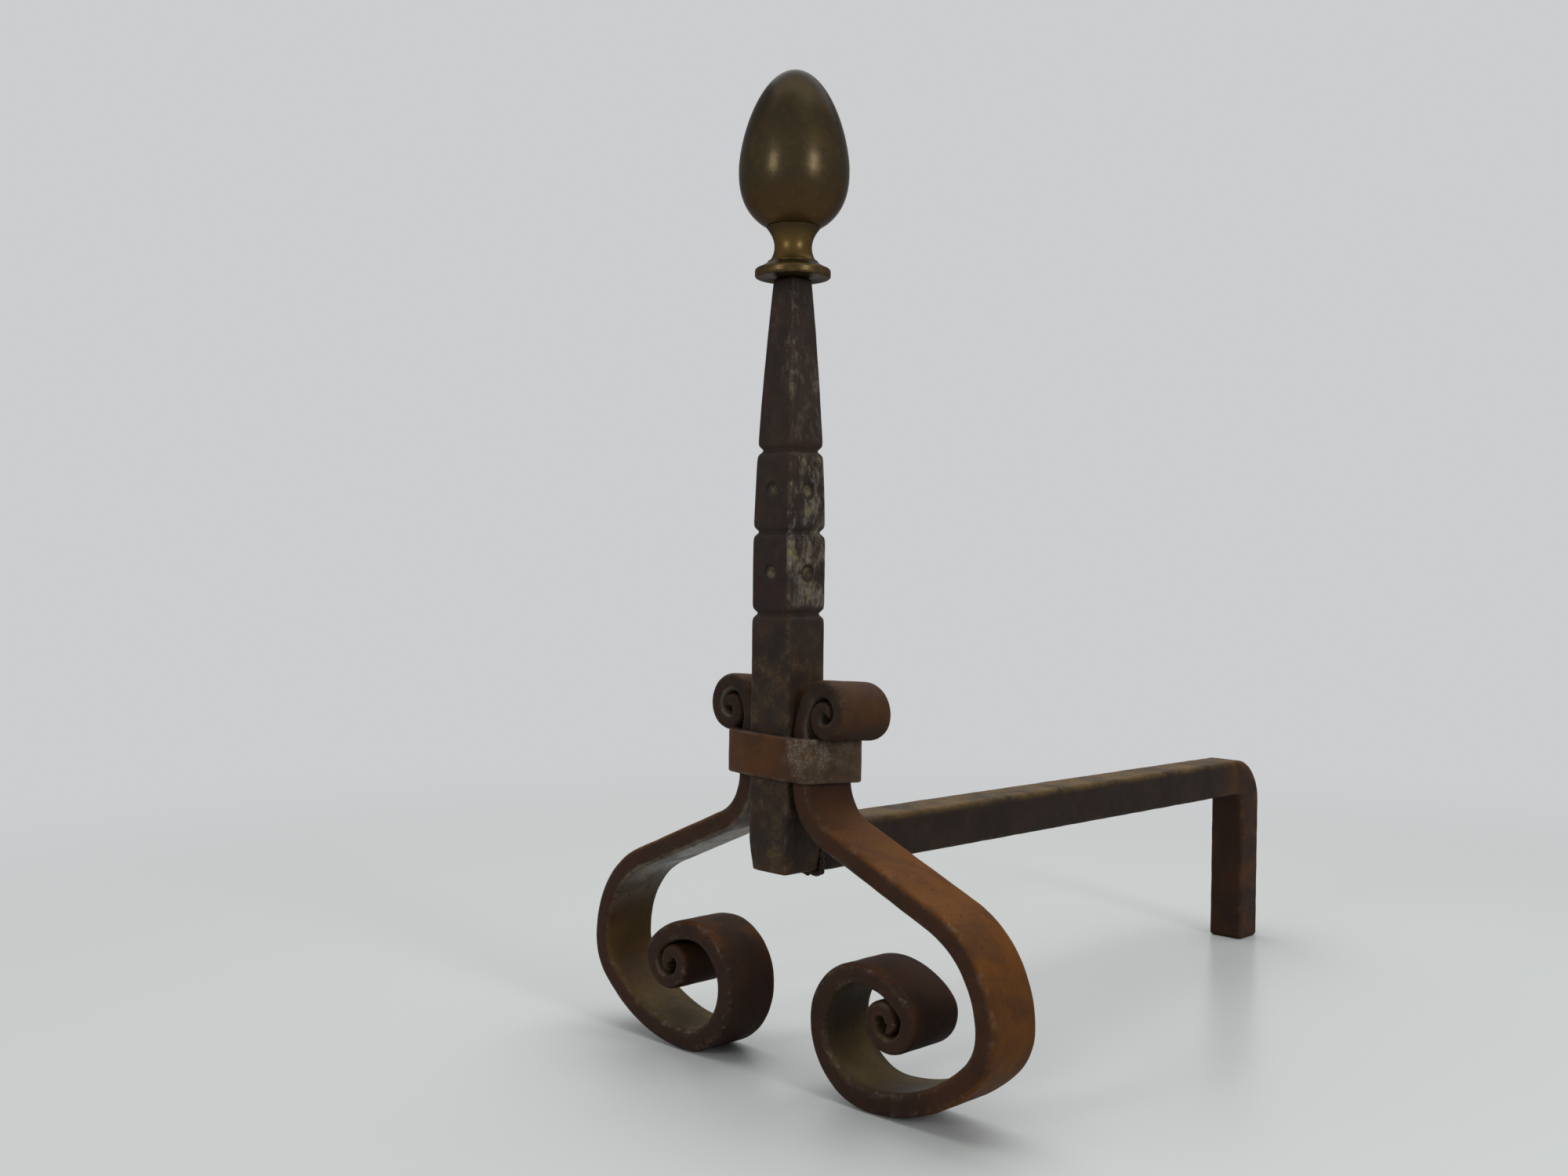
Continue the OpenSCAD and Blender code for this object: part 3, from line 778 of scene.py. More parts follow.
def post_share(forge, z):
    """The post's width at a height, as a share of its full width."""
    width = POST_WIDTH
    if z > forge.taper_z:
        share = (z - forge.taper_z) / (POST_HIGH.z - forge.taper_z)
        width -= (POST_WIDTH - forge.tip_width) * share ** TAPER_CURVE
    point_z = POST_LOW.z + forge.point_height
    if z < point_z:
        width -= 2 * forge.point_in * ((point_z - z) / forge.point_height) ** POINT_CURVE
    for k in range(3):
        gap = abs(z - forge.groove_z - k * forge.groove_pitch) / (forge.groove_width / 2)
        if gap < GROOVE_SHOULDER:
            width -= 2 * forge.groove_depth * math.exp(-(gap / GROOVE_FLANK) ** 2)
            width -= 2 * GROOVE_SINK * (1 - gap / GROOVE_SHOULDER)
    return width / POST_WIDTH


def post_path(forge):
    path = Path((0, 1, 0))
    for z in np.append(np.arange(POST_LOW.z, POST_HIGH.z, POST_STEP), POST_HIGH.z):
        share = post_share(forge, z)
        path.point((0, AXIS_Y, z), (1, 0, 0), share, share, 1)
    path.round_ends(1.2 * MM)
    return path


def rounded_corners(corners, radii, step):
    """Evenly spaced points, and their headings, on an open line whose corners are turned on radii."""
    corners = [np.array(c, float) for c in corners]
    points = [corners[0]]
    for before, corner, after, radius in zip(corners, corners[1:], corners[2:], radii):
        back = before - corner
        ahead = after - corner
        back /= np.linalg.norm(back)
        ahead /= np.linalg.norm(ahead)
        half = math.acos(float(np.clip(back @ ahead, -1, 1))) / 2
        reach = radius / math.tan(half)
        centre = corner + (back + ahead) / np.linalg.norm(back + ahead) * radius / math.sin(half)
        first = corner + back * reach - centre
        last = corner + ahead * reach - centre
        sweep = math.pi - 2 * half
        for share in np.linspace(0, 1, CORNER_POINTS):
            mixed = math.sin(sweep * (1 - share)) * first + math.sin(sweep * share) * last
            points.append(centre + mixed / math.sin(sweep))
    line = np.array(points + [corners[-1]])
    travelled = np.concatenate([[0], np.cumsum(np.linalg.norm(np.diff(line, axis=0), axis=1))])
    at = np.linspace(0, travelled[-1], int(travelled[-1] / step) + 2)
    smooth = np.stack([np.interp(at, travelled, line[:, k]) for k in (0, 1)], 1)
    along = np.gradient(smooth, axis=0)
    return smooth, along / np.linalg.norm(along, axis=1)[:, None]


def collar_slope(forge, x, y):
    """How far the crooked collar stands above its level place at x, y."""
    return COLLAR_LIFT - math.tan(forge.collar_pitch) * (y - AXIS_Y) - math.tan(forge.collar_roll) * x


def collar_path(forge):
    """The band's middle line, from one end of the gap at the back, round the front, to the other."""
    half_t = forge.collar_thickness / 2
    side_x = COLLAR_HIGH.x - half_t
    back_y = LEG_HIGH.y + half_t
    front_y = COLLAR_LOW.y + half_t
    side_y = LEG_LOW.y - half_t
    post_x = POST_WIDTH / 2
    gap = forge.collar_gap / 2
    corners = [(gap, back_y), (side_x, back_y), (side_x, side_y), (post_x, front_y), (-post_x, front_y),
               (-side_x, side_y), (-side_x, back_y), (-gap, back_y)]
    radii = [COLLAR_BACK_CORNER, COLLAR_SIDE_CORNER, COLLAR_FRONT_CORNER]
    line, along = rounded_corners(corners, radii + radii[::-1], forge.ring_step * 0.8)
    path = Path((0, 0, 1))
    mid_z = (COLLAR_LOW.z + COLLAR_HIGH.z) / 2
    for (x, y), (dx, dy) in zip(line, along):
        inward = (-dy, dx, 0) if (y - AXIS_Y) * dx - x * dy < 0 else (dy, -dx, 0)
        path.point((x, y, mid_z + collar_slope(forge, x, y)), inward)
    path.round_ends(1 * MM)
    return path


def egg_outline(finial):
    """The egg's profile, from the middle of its seat to its top."""
    seam = EGG_LOW.z
    girth = finial.girth_z
    top = EGG_HIGH.z
    radius = finial.egg_radius

    def below(z):
        return radius * math.sqrt(1 - ((girth - z) / finial.lower_reach) ** EGG_BELOW)

    def above(z):
        return radius * math.sqrt(1 - ((z - girth) / (top - girth)) ** EGG_ABOVE)

    outline = [(0, seam), (below(seam) - 0.5 * MM, seam), (below(seam) - 0.12 * MM, seam + 0.1 * MM)]
    for turn in np.linspace(0, math.pi / 2, EGG_RINGS_BELOW + 1)[1:]:
        z = seam + (girth - seam) * math.sin(turn)
        outline.append((below(z), z))
    for turn in np.linspace(0, math.pi / 2, EGG_RINGS_ABOVE + 1)[1:-1]:
        z = girth + (top - girth) * math.sin(turn)
        outline.append((above(z), z))
    return outline + [(0, top)]


def arc(centre_r, centre_z, radius, start, end):
    """Points of an arc in a turned outline. Angles are in degrees, 0 outwards and 90 up."""
    return [(centre_r + radius * math.cos(turn), centre_z + radius * math.sin(turn))
            for turn in np.radians(np.linspace(start, end, 9))]


def pedestal_outline(finial):
    """The pedestal's profile: its bore, flange, raised ring and waist, and the seat of the egg."""
    low = BASE_LOW.z
    seam = BASE_HIGH.z
    flange = finial.flange_radius
    waist = finial.waist_radius
    bore = finial.stud_radius + finial.stud_gap
    edge = 1.1 * MM
    brow = 1.5 * MM
    brow_z = low + 2.9 * MM
    slope_z = low + 4.4 * MM
    slope_run = 5.1 * MM
    slope_rise = 2.9 * MM
    ring = 0.34 * MM
    ring_in = flange - 6.35 * MM
    ring_z = low + 7.5 * MM
    ring_foot = ring_z + 0.8 * MM
    waist_z = low + 14.5 * MM
    rim_z = seam - 0.2 * MM
    flare_down = 0.049 / MM
    flare_up = 0.045 / MM
    outline = [(bore, low), (flange - 1.6 * MM, low)]
    outline += arc(flange - edge, low + edge, edge, -85, 0)
    outline += arc(flange - brow, brow_z, brow, 5, 68)
    for share in np.linspace(0, 1, 13)[1:]:
        outline.append((flange - edge - slope_run * share, slope_z + slope_rise * share ** 1.25))
    outline += arc(ring_in, ring_z, ring, -40, 100)
    outline += [(ring_in - 0.4 * MM, ring_z + 0.3 * MM), (ring_in - 0.65 * MM, ring_z + 0.55 * MM)]
    for z in np.linspace(ring_foot, waist_z, 15):
        outline.append((waist + flare_down * (waist_z - z) ** 2, z))
    for z in np.linspace(waist_z, rim_z, 22)[1:]:
        outline.append((waist + flare_up * (z - waist_z) ** 2, z))
    rim = outline[-1][0]
    outline += [(rim - 0.06 * MM, seam - 0.06 * MM), (rim - 0.3 * MM, seam), (bore + 0.6 * MM, seam),
                (bore, seam - 0.5 * MM), (bore, (low + seam) / 2)]
    return outline


# ---------------------------------------------------------------- finishes


class IronFinish:
    """Old oiled iron: brown-black mottling at three sizes with fine pits, and what is laid over it."""

    def __init__(self, name, colours):
        self.material, n = shader(name)
        self.n = n
        self.colours = colours
        self.place = n.place()
        self.skin = n.add("ShaderNodeAttribute", {"attribute_name": "skin"}, None, "Vector")
        self.clouds = n.noise(self.place, 30 * MM, 5, 0.6, 0.4)
        self.mottle = n.noise(self.place, 6.5 * MM, 6, 0.65, 0.6)
        self.grain = n.noise(self.place, 1.1 * MM, 4, 0.6)
        self.pits = n.noise(self.place, 2.2 * MM, 3, 0.5).rise(0.62, 0.74)
        self.colour = tuple(colours.scale_black)
        self.lay("iron_brown", self.clouds.rise(0.3, 0.7) * 0.6 + self.mottle.rise(0.4, 0.75) * 0.4)

    def masks(self):
        """What every finish starts from: its places and its four patterns."""
        return self.place, self.skin, self.clouds, self.mottle, self.grain, self.pits

    def lay(self, name, mask):
        """Lays one of the andiron's colours over what is there."""
        self.colour = self.n.mix(self.colour, tuple(getattr(self.colours, name)), mask)

    def finish(self, rough, metal, relief=0.4, gloss=0.13):
        """Adds the relief of the patterns and ends the material. gloss is its specular level."""
        height = self.grain * 0.35 + self.mottle * 0.55 - self.pits * 0.8
        finish_shader(self.n, {"Base Color": self.colour, "Roughness": rough, "Metallic": metal,
                               "Normal": self.n.bump(relief, IRON_RELIEF, height),
                               "Specular IOR Level": gloss})
        return self.material


def scroll_iron(name, colours, bare_and_sheen_amount, edge_rust, coil_rust_and_light):
    """The legs: golden rust outside, dark coils with painted shade inside the roll and painted light on
    their upper turns, dust inside the feet, and worn grey above it that is partly a painted sheen.
    """
    iron = IronFinish(name, colours)
    n = iron.n
    place, skin, clouds, mottle, grain, pits = iron.masks()
    outward = skin.part(0).rise(*ON_FACE)
    inward = (-skin.part(0)).rise(*ON_FACE)
    beside = abs(skin.part(1))
    arris = skin.part(2)
    height = place.part(2)
    patches = n.noise(place, 21 * MM, 4, 0.55, 0.6)
    under_collar = height.rise(*COLLAR_UNDER) * height.fall(*COLLAR_OVER)
    on_scroll = height.rise(*LEG_HEAD)
    coil = height.fall(*COIL_TOP) * abs(place.part(0)).fall(*COIL_SIDE)
    # painted light on the coil's upper turns, laid as more rust
    lit_coil_top = coil * height.rise(*COIL_LIT) * (patches.rise(0.3, 0.6) * 0.6 + 0.4) * coil_rust_and_light
    low = height.fall(*LOOP_TOP)

    bright = height.rise(*LEG_BRIGHT) * 0.18 - height.rise(*SCROLL_DULL) * 0.36
    rust_and_coil_light = outward * (patches.rise(0.3, 0.6) * 0.4 + mottle.rise(0.3, 0.7) * 0.16 + 0.2 + bright)
    # the coil keeps little rust, as painted shade inside the roll, and more on its upper turns, as painted
    # light
    rust_and_coil_light = rust_and_coil_light * (1.0 - under_collar * 0.8) * (1.0 - coil * 0.85 + lit_coil_top * 0.5)
    edges = beside.rise(0.9, 0.99) * (1.0 - on_scroll * 0.85)
    iron.lay("rust_dark", patches.rise(0.35, 0.65) * 0.3 + outward * 0.4 + edges * 0.2)
    iron.lay("rust", (rust_and_coil_light + edges * (1.0 - coil * 0.8) * edge_rust).least(1.0))
    iron.lay("iron_brown", outward * on_scroll * 0.4)
    iron.lay("scale_black", under_collar * outward * 0.3)
    stain = clouds.rise(0.55, 0.7) * outward * height.fall(*STAIN_TOP)
    # painted shade: fire scale darkens the coil's outward face inside the roll, less on its lit upper turns
    shade = coil * outward * (0.5 - lit_coil_top * 0.5)
    iron.lay("scale_black", (stain * 0.55 + shade).least(1.0))

    flat_inside = inward * (1.0 - beside.rise(0.55, 0.95) * 0.7)
    dust = flat_inside * (height.fall(*PAN_RIM) * 0.4 + low * 0.16) * (patches.rise(0.3, 0.65) * 0.5 + 0.75)
    iron.lay("rust", inward * low * (1.0 - coil) * 0.25)
    iron.lay("ochre", dust)
    iron.lay("olive", inward * low * clouds.rise(0.4, 0.6) * 0.08)
    # partly worn grey iron, partly a painted sheen where the inward face mirrors the pale floor; strongest
    # on the left leg
    bare_and_highlight = inward * (1.0 - low) * (patches.rise(0.35, 0.65) * 0.5 + 0.35) * bare_and_sheen_amount * (1.0 - pits)
    iron.lay("bare_iron", bare_and_highlight * (0.35 + grain * 0.4))

    scraped = arris * n.noise(place, 4 * MM, 5, 0.7).rise(0.56, 0.66) * (coil * 0.16 + 0.06)
    worn = arris * mottle.rise(0.5, 0.7)
    iron.lay("bare_iron", worn * 0.12 + scraped)
    iron.lay("scale_black", pits * 0.5 + grain.rise(0.55, 0.8) * 0.3)
    rough = 0.54 + outward * 0.1 - bare_and_highlight * 0.2 - worn * 0.1 + (grain - 0.5) * 0.16 + (clouds - 0.5) * 0.2
    return iron.finish(rough, 0.01 + bare_and_highlight * 0.4 + worn * 0.2, relief=0.35, gloss=0.06)


def post_iron(colours):
    """The post: brown-black, with scraped grey faces and an olive stain where it is worn, a painted
    highlight in each dimple's bottom and painted shade round its rim.
    """
    iron = IronFinish("post_iron", colours)
    n = iron.n
    place, skin, clouds, mottle, grain, pits = iron.masks()
    arris = skin.part(2)
    height = place.part(2)
    drawn = place.vector("MULTIPLY", (1, 1, 0.5))
    streaks = n.noise(place.vector("MULTIPLY", (1, 1, 0.6)), 2.8 * MM, 6, 0.7, 0.3)
    patches = n.noise(drawn, 8 * MM, 4, 0.6, 0.4)
    blocks = height.rise(*BLOCKS_FOOT) * height.fall(*BLOCKS_HEAD)
    above = height.rise(*TAPER_FOOT) * height.fall(*TAPER_WORN)

    # the right-hand face of the blocks is scraped down to grey iron in patches; each dimple's bottom is
    # lightened too, partly by an olive stain and partly as a painted highlight where its bowl catches the
    # light
    punch = n.add("ShaderNodeAttribute", {"attribute_name": "punch"}, None, "Fac")
    back_edge = (place.part(1) - AXIS_Y).rise(*POST_BACK_EDGE)
    amount = blocks * height.fall(*BLOCKS_MIDDLE) * 0.013 + (blocks + above) * back_edge * 0.034 - 0.026
    wear_and_light = (patches * 0.6 + streaks * 0.4 + amount).rise(0.445, 0.635) * skin.part(0).rise(0.75, 0.98)
    wear_and_light = wear_and_light * (blocks + above * 0.4).least(1.0) * (streaks.rise(0.35, 0.65) * 0.65 + 0.35)
    # the dimple's bottom: partly olive stain, partly a painted highlight where its bowl catches the light
    dimple_stain_and_glint = punch.rise(0.4, 0.95) * (mottle.rise(0.42, 0.62) * 0.5 + 0.08)
    wear_and_light = (wear_and_light * punch.fall(0.0, 0.25) + dimple_stain_and_glint).least(1.0)
    front_arris = skin.part(0).rise(0.1, 0.9) * skin.part(1).fall(-0.9, -0.35)
    scrape = (streaks * 0.6 + patches * 0.4).rise(0.5, 0.6) * height.rise(*TIP_FOOT)
    bare_and_highlight = (wear_and_light + scrape * (front_arris * 0.4 + 0.1)).least(1.0)

    lower = height.fall(*LOW_POST)
    blotch = n.noise(place, 11 * MM, 3, 0.55).rise(0.42, 0.68)
    fuzz = n.noise(place, 1.6 * MM, 5, 0.75).rise(0.38, 0.66)
    iron.lay("rust_dark", n.noise(place, 17 * MM, 3).rise(0.45, 0.65) * 0.35)
    iron.lay("rust", lower * clouds.rise(0.45, 0.7) * 0.16)
    iron.lay("ochre", lower * blotch * (fuzz * 0.42 + 0.06))
    iron.lay("bare_iron", bare_and_highlight * (0.34 + grain * 0.26))
    green = n.noise(drawn, 6 * MM, 3, 0.6, 0.3).rise(0.49, 0.59)
    iron.lay("olive", (wear_and_light * green + dimple_stain_and_glint).least(1.0) * 0.55)
    # painted shade: a dark ring round each dimple's rim
    iron.lay("scale_black", punch.rise(0.01, 0.1) * punch.fall(0.2, 0.45) * 0.85)
    iron.lay("bare_iron", arris * mottle.rise(0.48, 0.68) * 0.1)
    iron.lay("scale_black", pits * 0.5)
    rough = 0.52 - bare_and_highlight * 0.14 + (grain - 0.5) * 0.16 + (clouds - 0.5) * 0.2
    return iron.finish(rough, 0.2 + bare_and_highlight * 0.3)


def collar_iron(colours):
    """The collar: red-brown rust, with a pale speckled bloom on its right-hand side."""
    iron = IronFinish("collar_iron", colours)
    n = iron.n
    place, skin, _, mottle, grain, _ = iron.masks()
    outward = skin.part(0).rise(*ON_FACE)
    right = place.part(0).rise(*COLLAR_RIGHT)
    patches = n.noise(place, 12 * MM, 4, 0.6, 0.4)
    iron.lay("rust_dark", outward * 0.55)
    iron.lay("rust", outward * (1.0 - right * 0.8) * (0.24 + patches.rise(0.3, 0.7) * 0.32))
    iron.lay("iron_brown", right * 0.5)

    specks = n.noise(place, 0.7 * MM, 3, 0.6).rise(0.46, 0.64)
    patchy = n.noise(place, 7.5 * MM, 6, 0.72).rise(0.4, 0.64)
    ragged = place.part(0) + (patchy - 0.5) * (7 * MM)
    flank = (place.part(1) - AXIS_Y).rise(*COLLAR_FLANK)
    bloom = ragged.rise(*COLLAR_BLOOM) * patchy * (specks * 0.85 + 0.15) * (1.0 - flank * 0.5)
    bloom = bloom * (skin.part(1).rise(-0.9, 0.1) * 0.6 + 0.4)
    iron.lay("ochre", ragged.rise(*COLLAR_STAIN) * patches.rise(0.3, 0.65) * 0.24)
    iron.lay("bare_iron", bloom * 0.56)
    low_edge = skin.part(1).fall(-0.98, -0.8) * mottle.rise(0.4, 0.6)
    iron.lay("bare_iron", (skin.part(2) * 0.5 + low_edge).least(1.0) * mottle.rise(0.4, 0.65) * 0.16)
    return iron.finish(0.6 + (grain - 0.5) * 0.2, 0.15 + bloom * 0.15)


def bar_iron(colours):
    """The log bar: a tan bloom on top, brown-black sides and a rusty rear bend."""
    iron = IronFinish("bar_iron", colours)
    place, skin, _, mottle, grain, pits = iron.masks()
    outward = skin.part(0).rise(0.6, 0.97)
    side = abs(skin.part(1)).rise(0.8, 0.98)
    bend = (place.part(1) - BAR_HIGH.y).rise(*BEND_RUST)
    patches = iron.n.noise(place, 22 * MM, 5, 0.6, 0.7)
    iron.lay("rust_dark", patches.rise(0.4, 0.7) * 0.3)
    iron.lay("scale_black", (1.0 - outward) * 0.35)
    dust = patches.rise(0.35, 0.6) * 0.5 + mottle.rise(0.35, 0.65) * 0.2 + 0.08
    iron.lay("ochre", outward * place.part(2).rise(*BAR_TOP) * dust)
    iron.lay("rust_dark", bend * 0.3)
    iron.lay("rust", bend * (patches.rise(0.4, 0.65) * 0.3 + 0.04) * (side * 0.7 + 0.3))
    iron.lay("ochre", skin.part(2) * mottle.rise(0.45, 0.65) * 0.25)
    iron.lay("scale_black", pits * 0.5)
    return iron.finish(0.6 + (grain - 0.5) * 0.2, 0.1, relief=0.35, gloss=0.08)


def weld_iron(colours):
    """Weld metal and the rivet: dull grey-brown."""
    iron = IronFinish("weld_iron", colours)
    iron.lay("bare_iron", iron.mottle.rise(0.55, 0.75) * 0.12)
    return iron.finish(0.5 + (iron.grain - 0.5) * 0.2, 0.2, relief=0.3, gloss=0.1)


def brass(name, colours, rough, metal):
    """Old brass under a patina, warmer low down, with fine turning lines, and painted shade on the egg's top
    and the neck under the egg.
    """
    material, n = shader(name)
    dark, warm, red = (tuple(c) for c in (colours.brass_dark, colours.brass_warm, colours.rust_dark))
    place = n.place()
    height = place.part(2)
    clouds = n.noise(place, 16 * MM, 5, 0.6, 0.5)
    mottle = n.noise(place, 3.5 * MM, 5, 0.6)
    grain = n.noise(place, 0.7 * MM, 3, 0.6)
    lines = n.noise(place.vector("MULTIPLY", (0.08, 0.08, 1)), 0.9 * MM, 3, 0.5)
    specks = n.noise(place, 1.3 * MM, 2, 0.5).rise(0.66, 0.74)
    flange = height.fall(BASE_LOW.z + 5.6 * MM, BASE_LOW.z + 8 * MM)
    on_egg = height.rise(EGG_LOW.z - 0.5 * MM, EGG_LOW.z + 1 * MM)

    warmth = clouds.rise(0.45, 0.75) * 0.14 + mottle.rise(0.45, 0.7) * 0.12 + height.fall(*EGG_WARM) * 0.3
    tone = n.mix(dark, warm, warmth * (1.0 - flange * mottle.fall(0.45, 0.65) * 0.6))
    tone = n.mix(tone, red, on_egg * height.fall(*EGG_RED) * 0.4)
    # painted shade: the top of the pedestal's neck is darkened under the egg
    under_egg_shade = (1.0 - on_egg) * height.rise(BASE_HIGH.z - 7 * MM, BASE_HIGH.z) * 0.6
    # painted shade: the egg's top, and the neck under the egg, are darkened
    tone = n.mix(tone, tuple(c * 0.45 for c in dark), height.rise(*EGG_TOP_SHADE) * 0.65 + under_egg_shade)
    tone = n.mix(tone, tuple(c * 0.35 for c in dark), specks * 0.6)
    dull = (clouds - 0.5) * 0.12 + rough + (grain - 0.5) * 0.14 + specks * 0.12
    relief = lines * 0.25 + grain * 0.3 + mottle * 0.4 - specks * 0.4
    finish_shader(n, {"Base Color": tone, "Roughness": dull, "Metallic": metal,
                      "Normal": n.bump(0.16, BRASS_RELIEF, relief), "Specular IOR Level": 0.08,
                      "Specular Tint": (*BRASS_EDGE, 1), "Coat Weight": 0.025, "Coat Roughness": 0.18})
    return material


def thread_steel(colours):
    """Plain steel, stained brown in patches."""
    material, n = shader("thread_steel")
    place = n.place()
    stain = n.noise(place, 5 * MM, 4, 0.6).rise(0.45, 0.7)
    tone = n.mix(tuple(colours.steel), tuple(colours.iron_brown), stain * 0.6)
    finish_shader(n, {"Base Color": tone, "Roughness": 0.38 + stain * 0.3, "Metallic": 0.9 - stain * 0.4,
                      "Normal": n.bump(0.15, THREAD_RELIEF, n.noise(place, 0.8 * MM, 4, 0.6))})
    return material


# ---------------------------------------------------------------- pieces


def forge_piece(name, path, forge, sizes, iron):
    """Sweeps a forged bar along its path. The piece's name sets its own run of hammer marks."""
    values = {"Hammer depth": forge.hammer_depth, "Hammer size": forge.hammer_size,
              "Pit depth": forge.pit_depth, "Seed": forge.seed + len(name), "Iron": iron}
    tree = made_once(bpy.data.node_groups, "Forged bar", forged_bar_tree)
    return grow(name, path.mesh(name), tree, values | sizes)


def lay_bead(name, points, sizes, seed, puddle, colours):
    """Lays a weld bead along points. puddle is one puddle's radius, spacing and unevenness."""
    radius, spacing, unevenness = puddle
    iron = made_once(bpy.data.materials, "weld_iron", weld_iron, colours)
    tree = made_once(bpy.data.node_groups, "Weld bead", weld_bead_tree)
    values = {"Puddle radius": radius, "Spacing": spacing, "Unevenness": unevenness, "Seed": seed,
              "Iron": iron}
    return grow(name, edge_chain(name, points, {"size": sizes}), tree, values, BEAD_VOXEL)


def place_piece(piece, node, body):
    """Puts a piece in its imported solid's place."""
    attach(piece, body)
    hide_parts(node)


def punch_dimples(mesh, forge):
    """Presses a dimple into each face of the two blocks between the post's grooves."""
    count = len(mesh.vertices)
    points = np.empty(count * 3)
    mesh.vertices.foreach_get("co", points)
    points = points.reshape(-1, 3)
    points[:, 1] -= AXIS_Y
    marks = np.zeros(count)
    for block in (0.5, 1.5):
        z = forge.groove_z + block * forge.groove_pitch
        half = post_share(forge, z) * POST_WIDTH / 2
        for axis, sign in ((0, 1), (0, -1), (1, 1), (1, -1)):
            gap = np.hypot(points[:, 1 - axis], points[:, 2] - z) / forge.dimple_radius
            on_face = points[:, axis] * sign > half * FACE_SHARE
            bowl = np.where(gap < 1, 1 - gap ** 2, 0) * forge.dimple_depth
            lip = np.exp(-((gap - LIP_REACH) / LIP_WIDTH) ** 2) * LIP_HEIGHT
            points[:, axis] -= np.where(on_face, (bowl - lip) * sign, 0)
            marks = np.where(on_face, np.maximum(marks, 1 - gap ** 2), marks)
    mesh.attributes.new("punch", "FLOAT", "POINT").data.foreach_set("value", marks.astype(np.float32))
    points[:, 1] += AXIS_Y
    mesh.vertices.foreach_set("co", points.ravel())
    mesh.update()


def drill_post(post, finial):
    """Cuts the hole that takes the stud."""
    radius = finial.stud_radius + finial.stud_gap
    low = STUD_LOW.z - HOLE_SPARE
    high = POST_HIGH.z + DRILL_OVER
    drill = turned("drill", [(0, low), (radius, low), (radius, high), (0, high)], DRILL_SIDES, False)
    cut = post.modifiers.new("Drill", "BOOLEAN")
    cut.operation = "DIFFERENCE"
    cut.solver = "EXACT"
    cut.object = drill
    settle(post)
    bpy.data.objects.remove(drill)


# ---------------------------------------------------------------- operators


class ANDIRON_OT_legs(bpy.types.Operator):
    """Forge the two scroll legs"""
    bl_idname = "andiron.legs"
    bl_label = "Scroll legs"
    bl_options = {"REGISTER", "UNDO"}

    def execute(self, context):
        forge = context.scene.andiron_forge
        sizes = {"Thickness": forge.leg_thickness, "Width": forge.leg_width, "Arris": forge.leg_arris,
                 "Points round": 76}
        # side, node, then worn grey iron with a painted sheen on the inward face, rust along the edges, and
        # rust and painted light on the coil's upper turns
        for side, node, *wear_and_light in ((1, "right_leg", 0.35, 0.14, 0.6), (-1, "left_leg", 1.0, 0.06, 1.0)):
            iron = scroll_iron("scroll_iron_" + node, context.scene.andiron_colours, *wear_and_light)
            leg = forge_piece("scroll_" + node, leg_path(forge, side), forge, sizes, iron)
            place_piece(leg, node, "frame")
        return {"FINISHED"}


class ANDIRON_OT_post(bpy.types.Operator):
    """Forge the post, punch its dimples and drill it for the stud"""
    bl_idname = "andiron.post"
    bl_label = "Post"
    bl_options = {"REGISTER", "UNDO"}

    def execute(self, context):
        forge = context.scene.andiron_forge
        sizes = {"Thickness": POST_WIDTH, "Width": POST_WIDTH, "Arris": forge.post_arris,
                 "Points round": 148, "Hammer depth": forge.hammer_depth * 0.7}
        iron = post_iron(context.scene.andiron_colours)
        post = forge_piece("forged_post", post_path(forge), forge, sizes, iron)
        punch_dimples(post.data, forge)
        drill_post(post, context.scene.andiron_finial)
        place_piece(post, "post", "frame")
        return {"FINISHED"}


class ANDIRON_OT_collar(bpy.types.Operator):
    """Wrap the collar round the post and legs, and lay its closing bead"""
    bl_idname = "andiron.collar"
    bl_label = "Collar"
    bl_options = {"REGISTER", "UNDO"}

    def execute(self, context):
        forge = context.scene.andiron_forge
        colours = context.scene.andiron_colours
        height = COLLAR_HIGH.z - COLLAR_LOW.z + forge.collar_swell
        sizes = {"Thickness": forge.collar_thickness, "Width": height, "Arris": forge.collar_arris,
                 "Points round": 64}
        band = forge_piece("collar_band", collar_path(forge), forge, sizes, collar_iron(colours))
        place_piece(band, "collar", "frame")
        back_y = COLLAR_HIGH.y - 0.6 * MM
        drop = collar_slope(forge, 0, back_y)
        heights = np.linspace(COLLAR_LOW.z + 1.6 * MM, COLLAR_HIGH.z - 1.6 * MM, 9)
        points = [(0.3 * MM * (-1) ** k, back_y, z + drop) for k, z in enumerate(heights)]
        bead = lay_bead("collar_bead", points, [1.0] * len(points), forge.seed, COLLAR_PUDDLE, colours)
        place_piece(bead, "collar_weld", "frame")
        return {"FINISHED"}


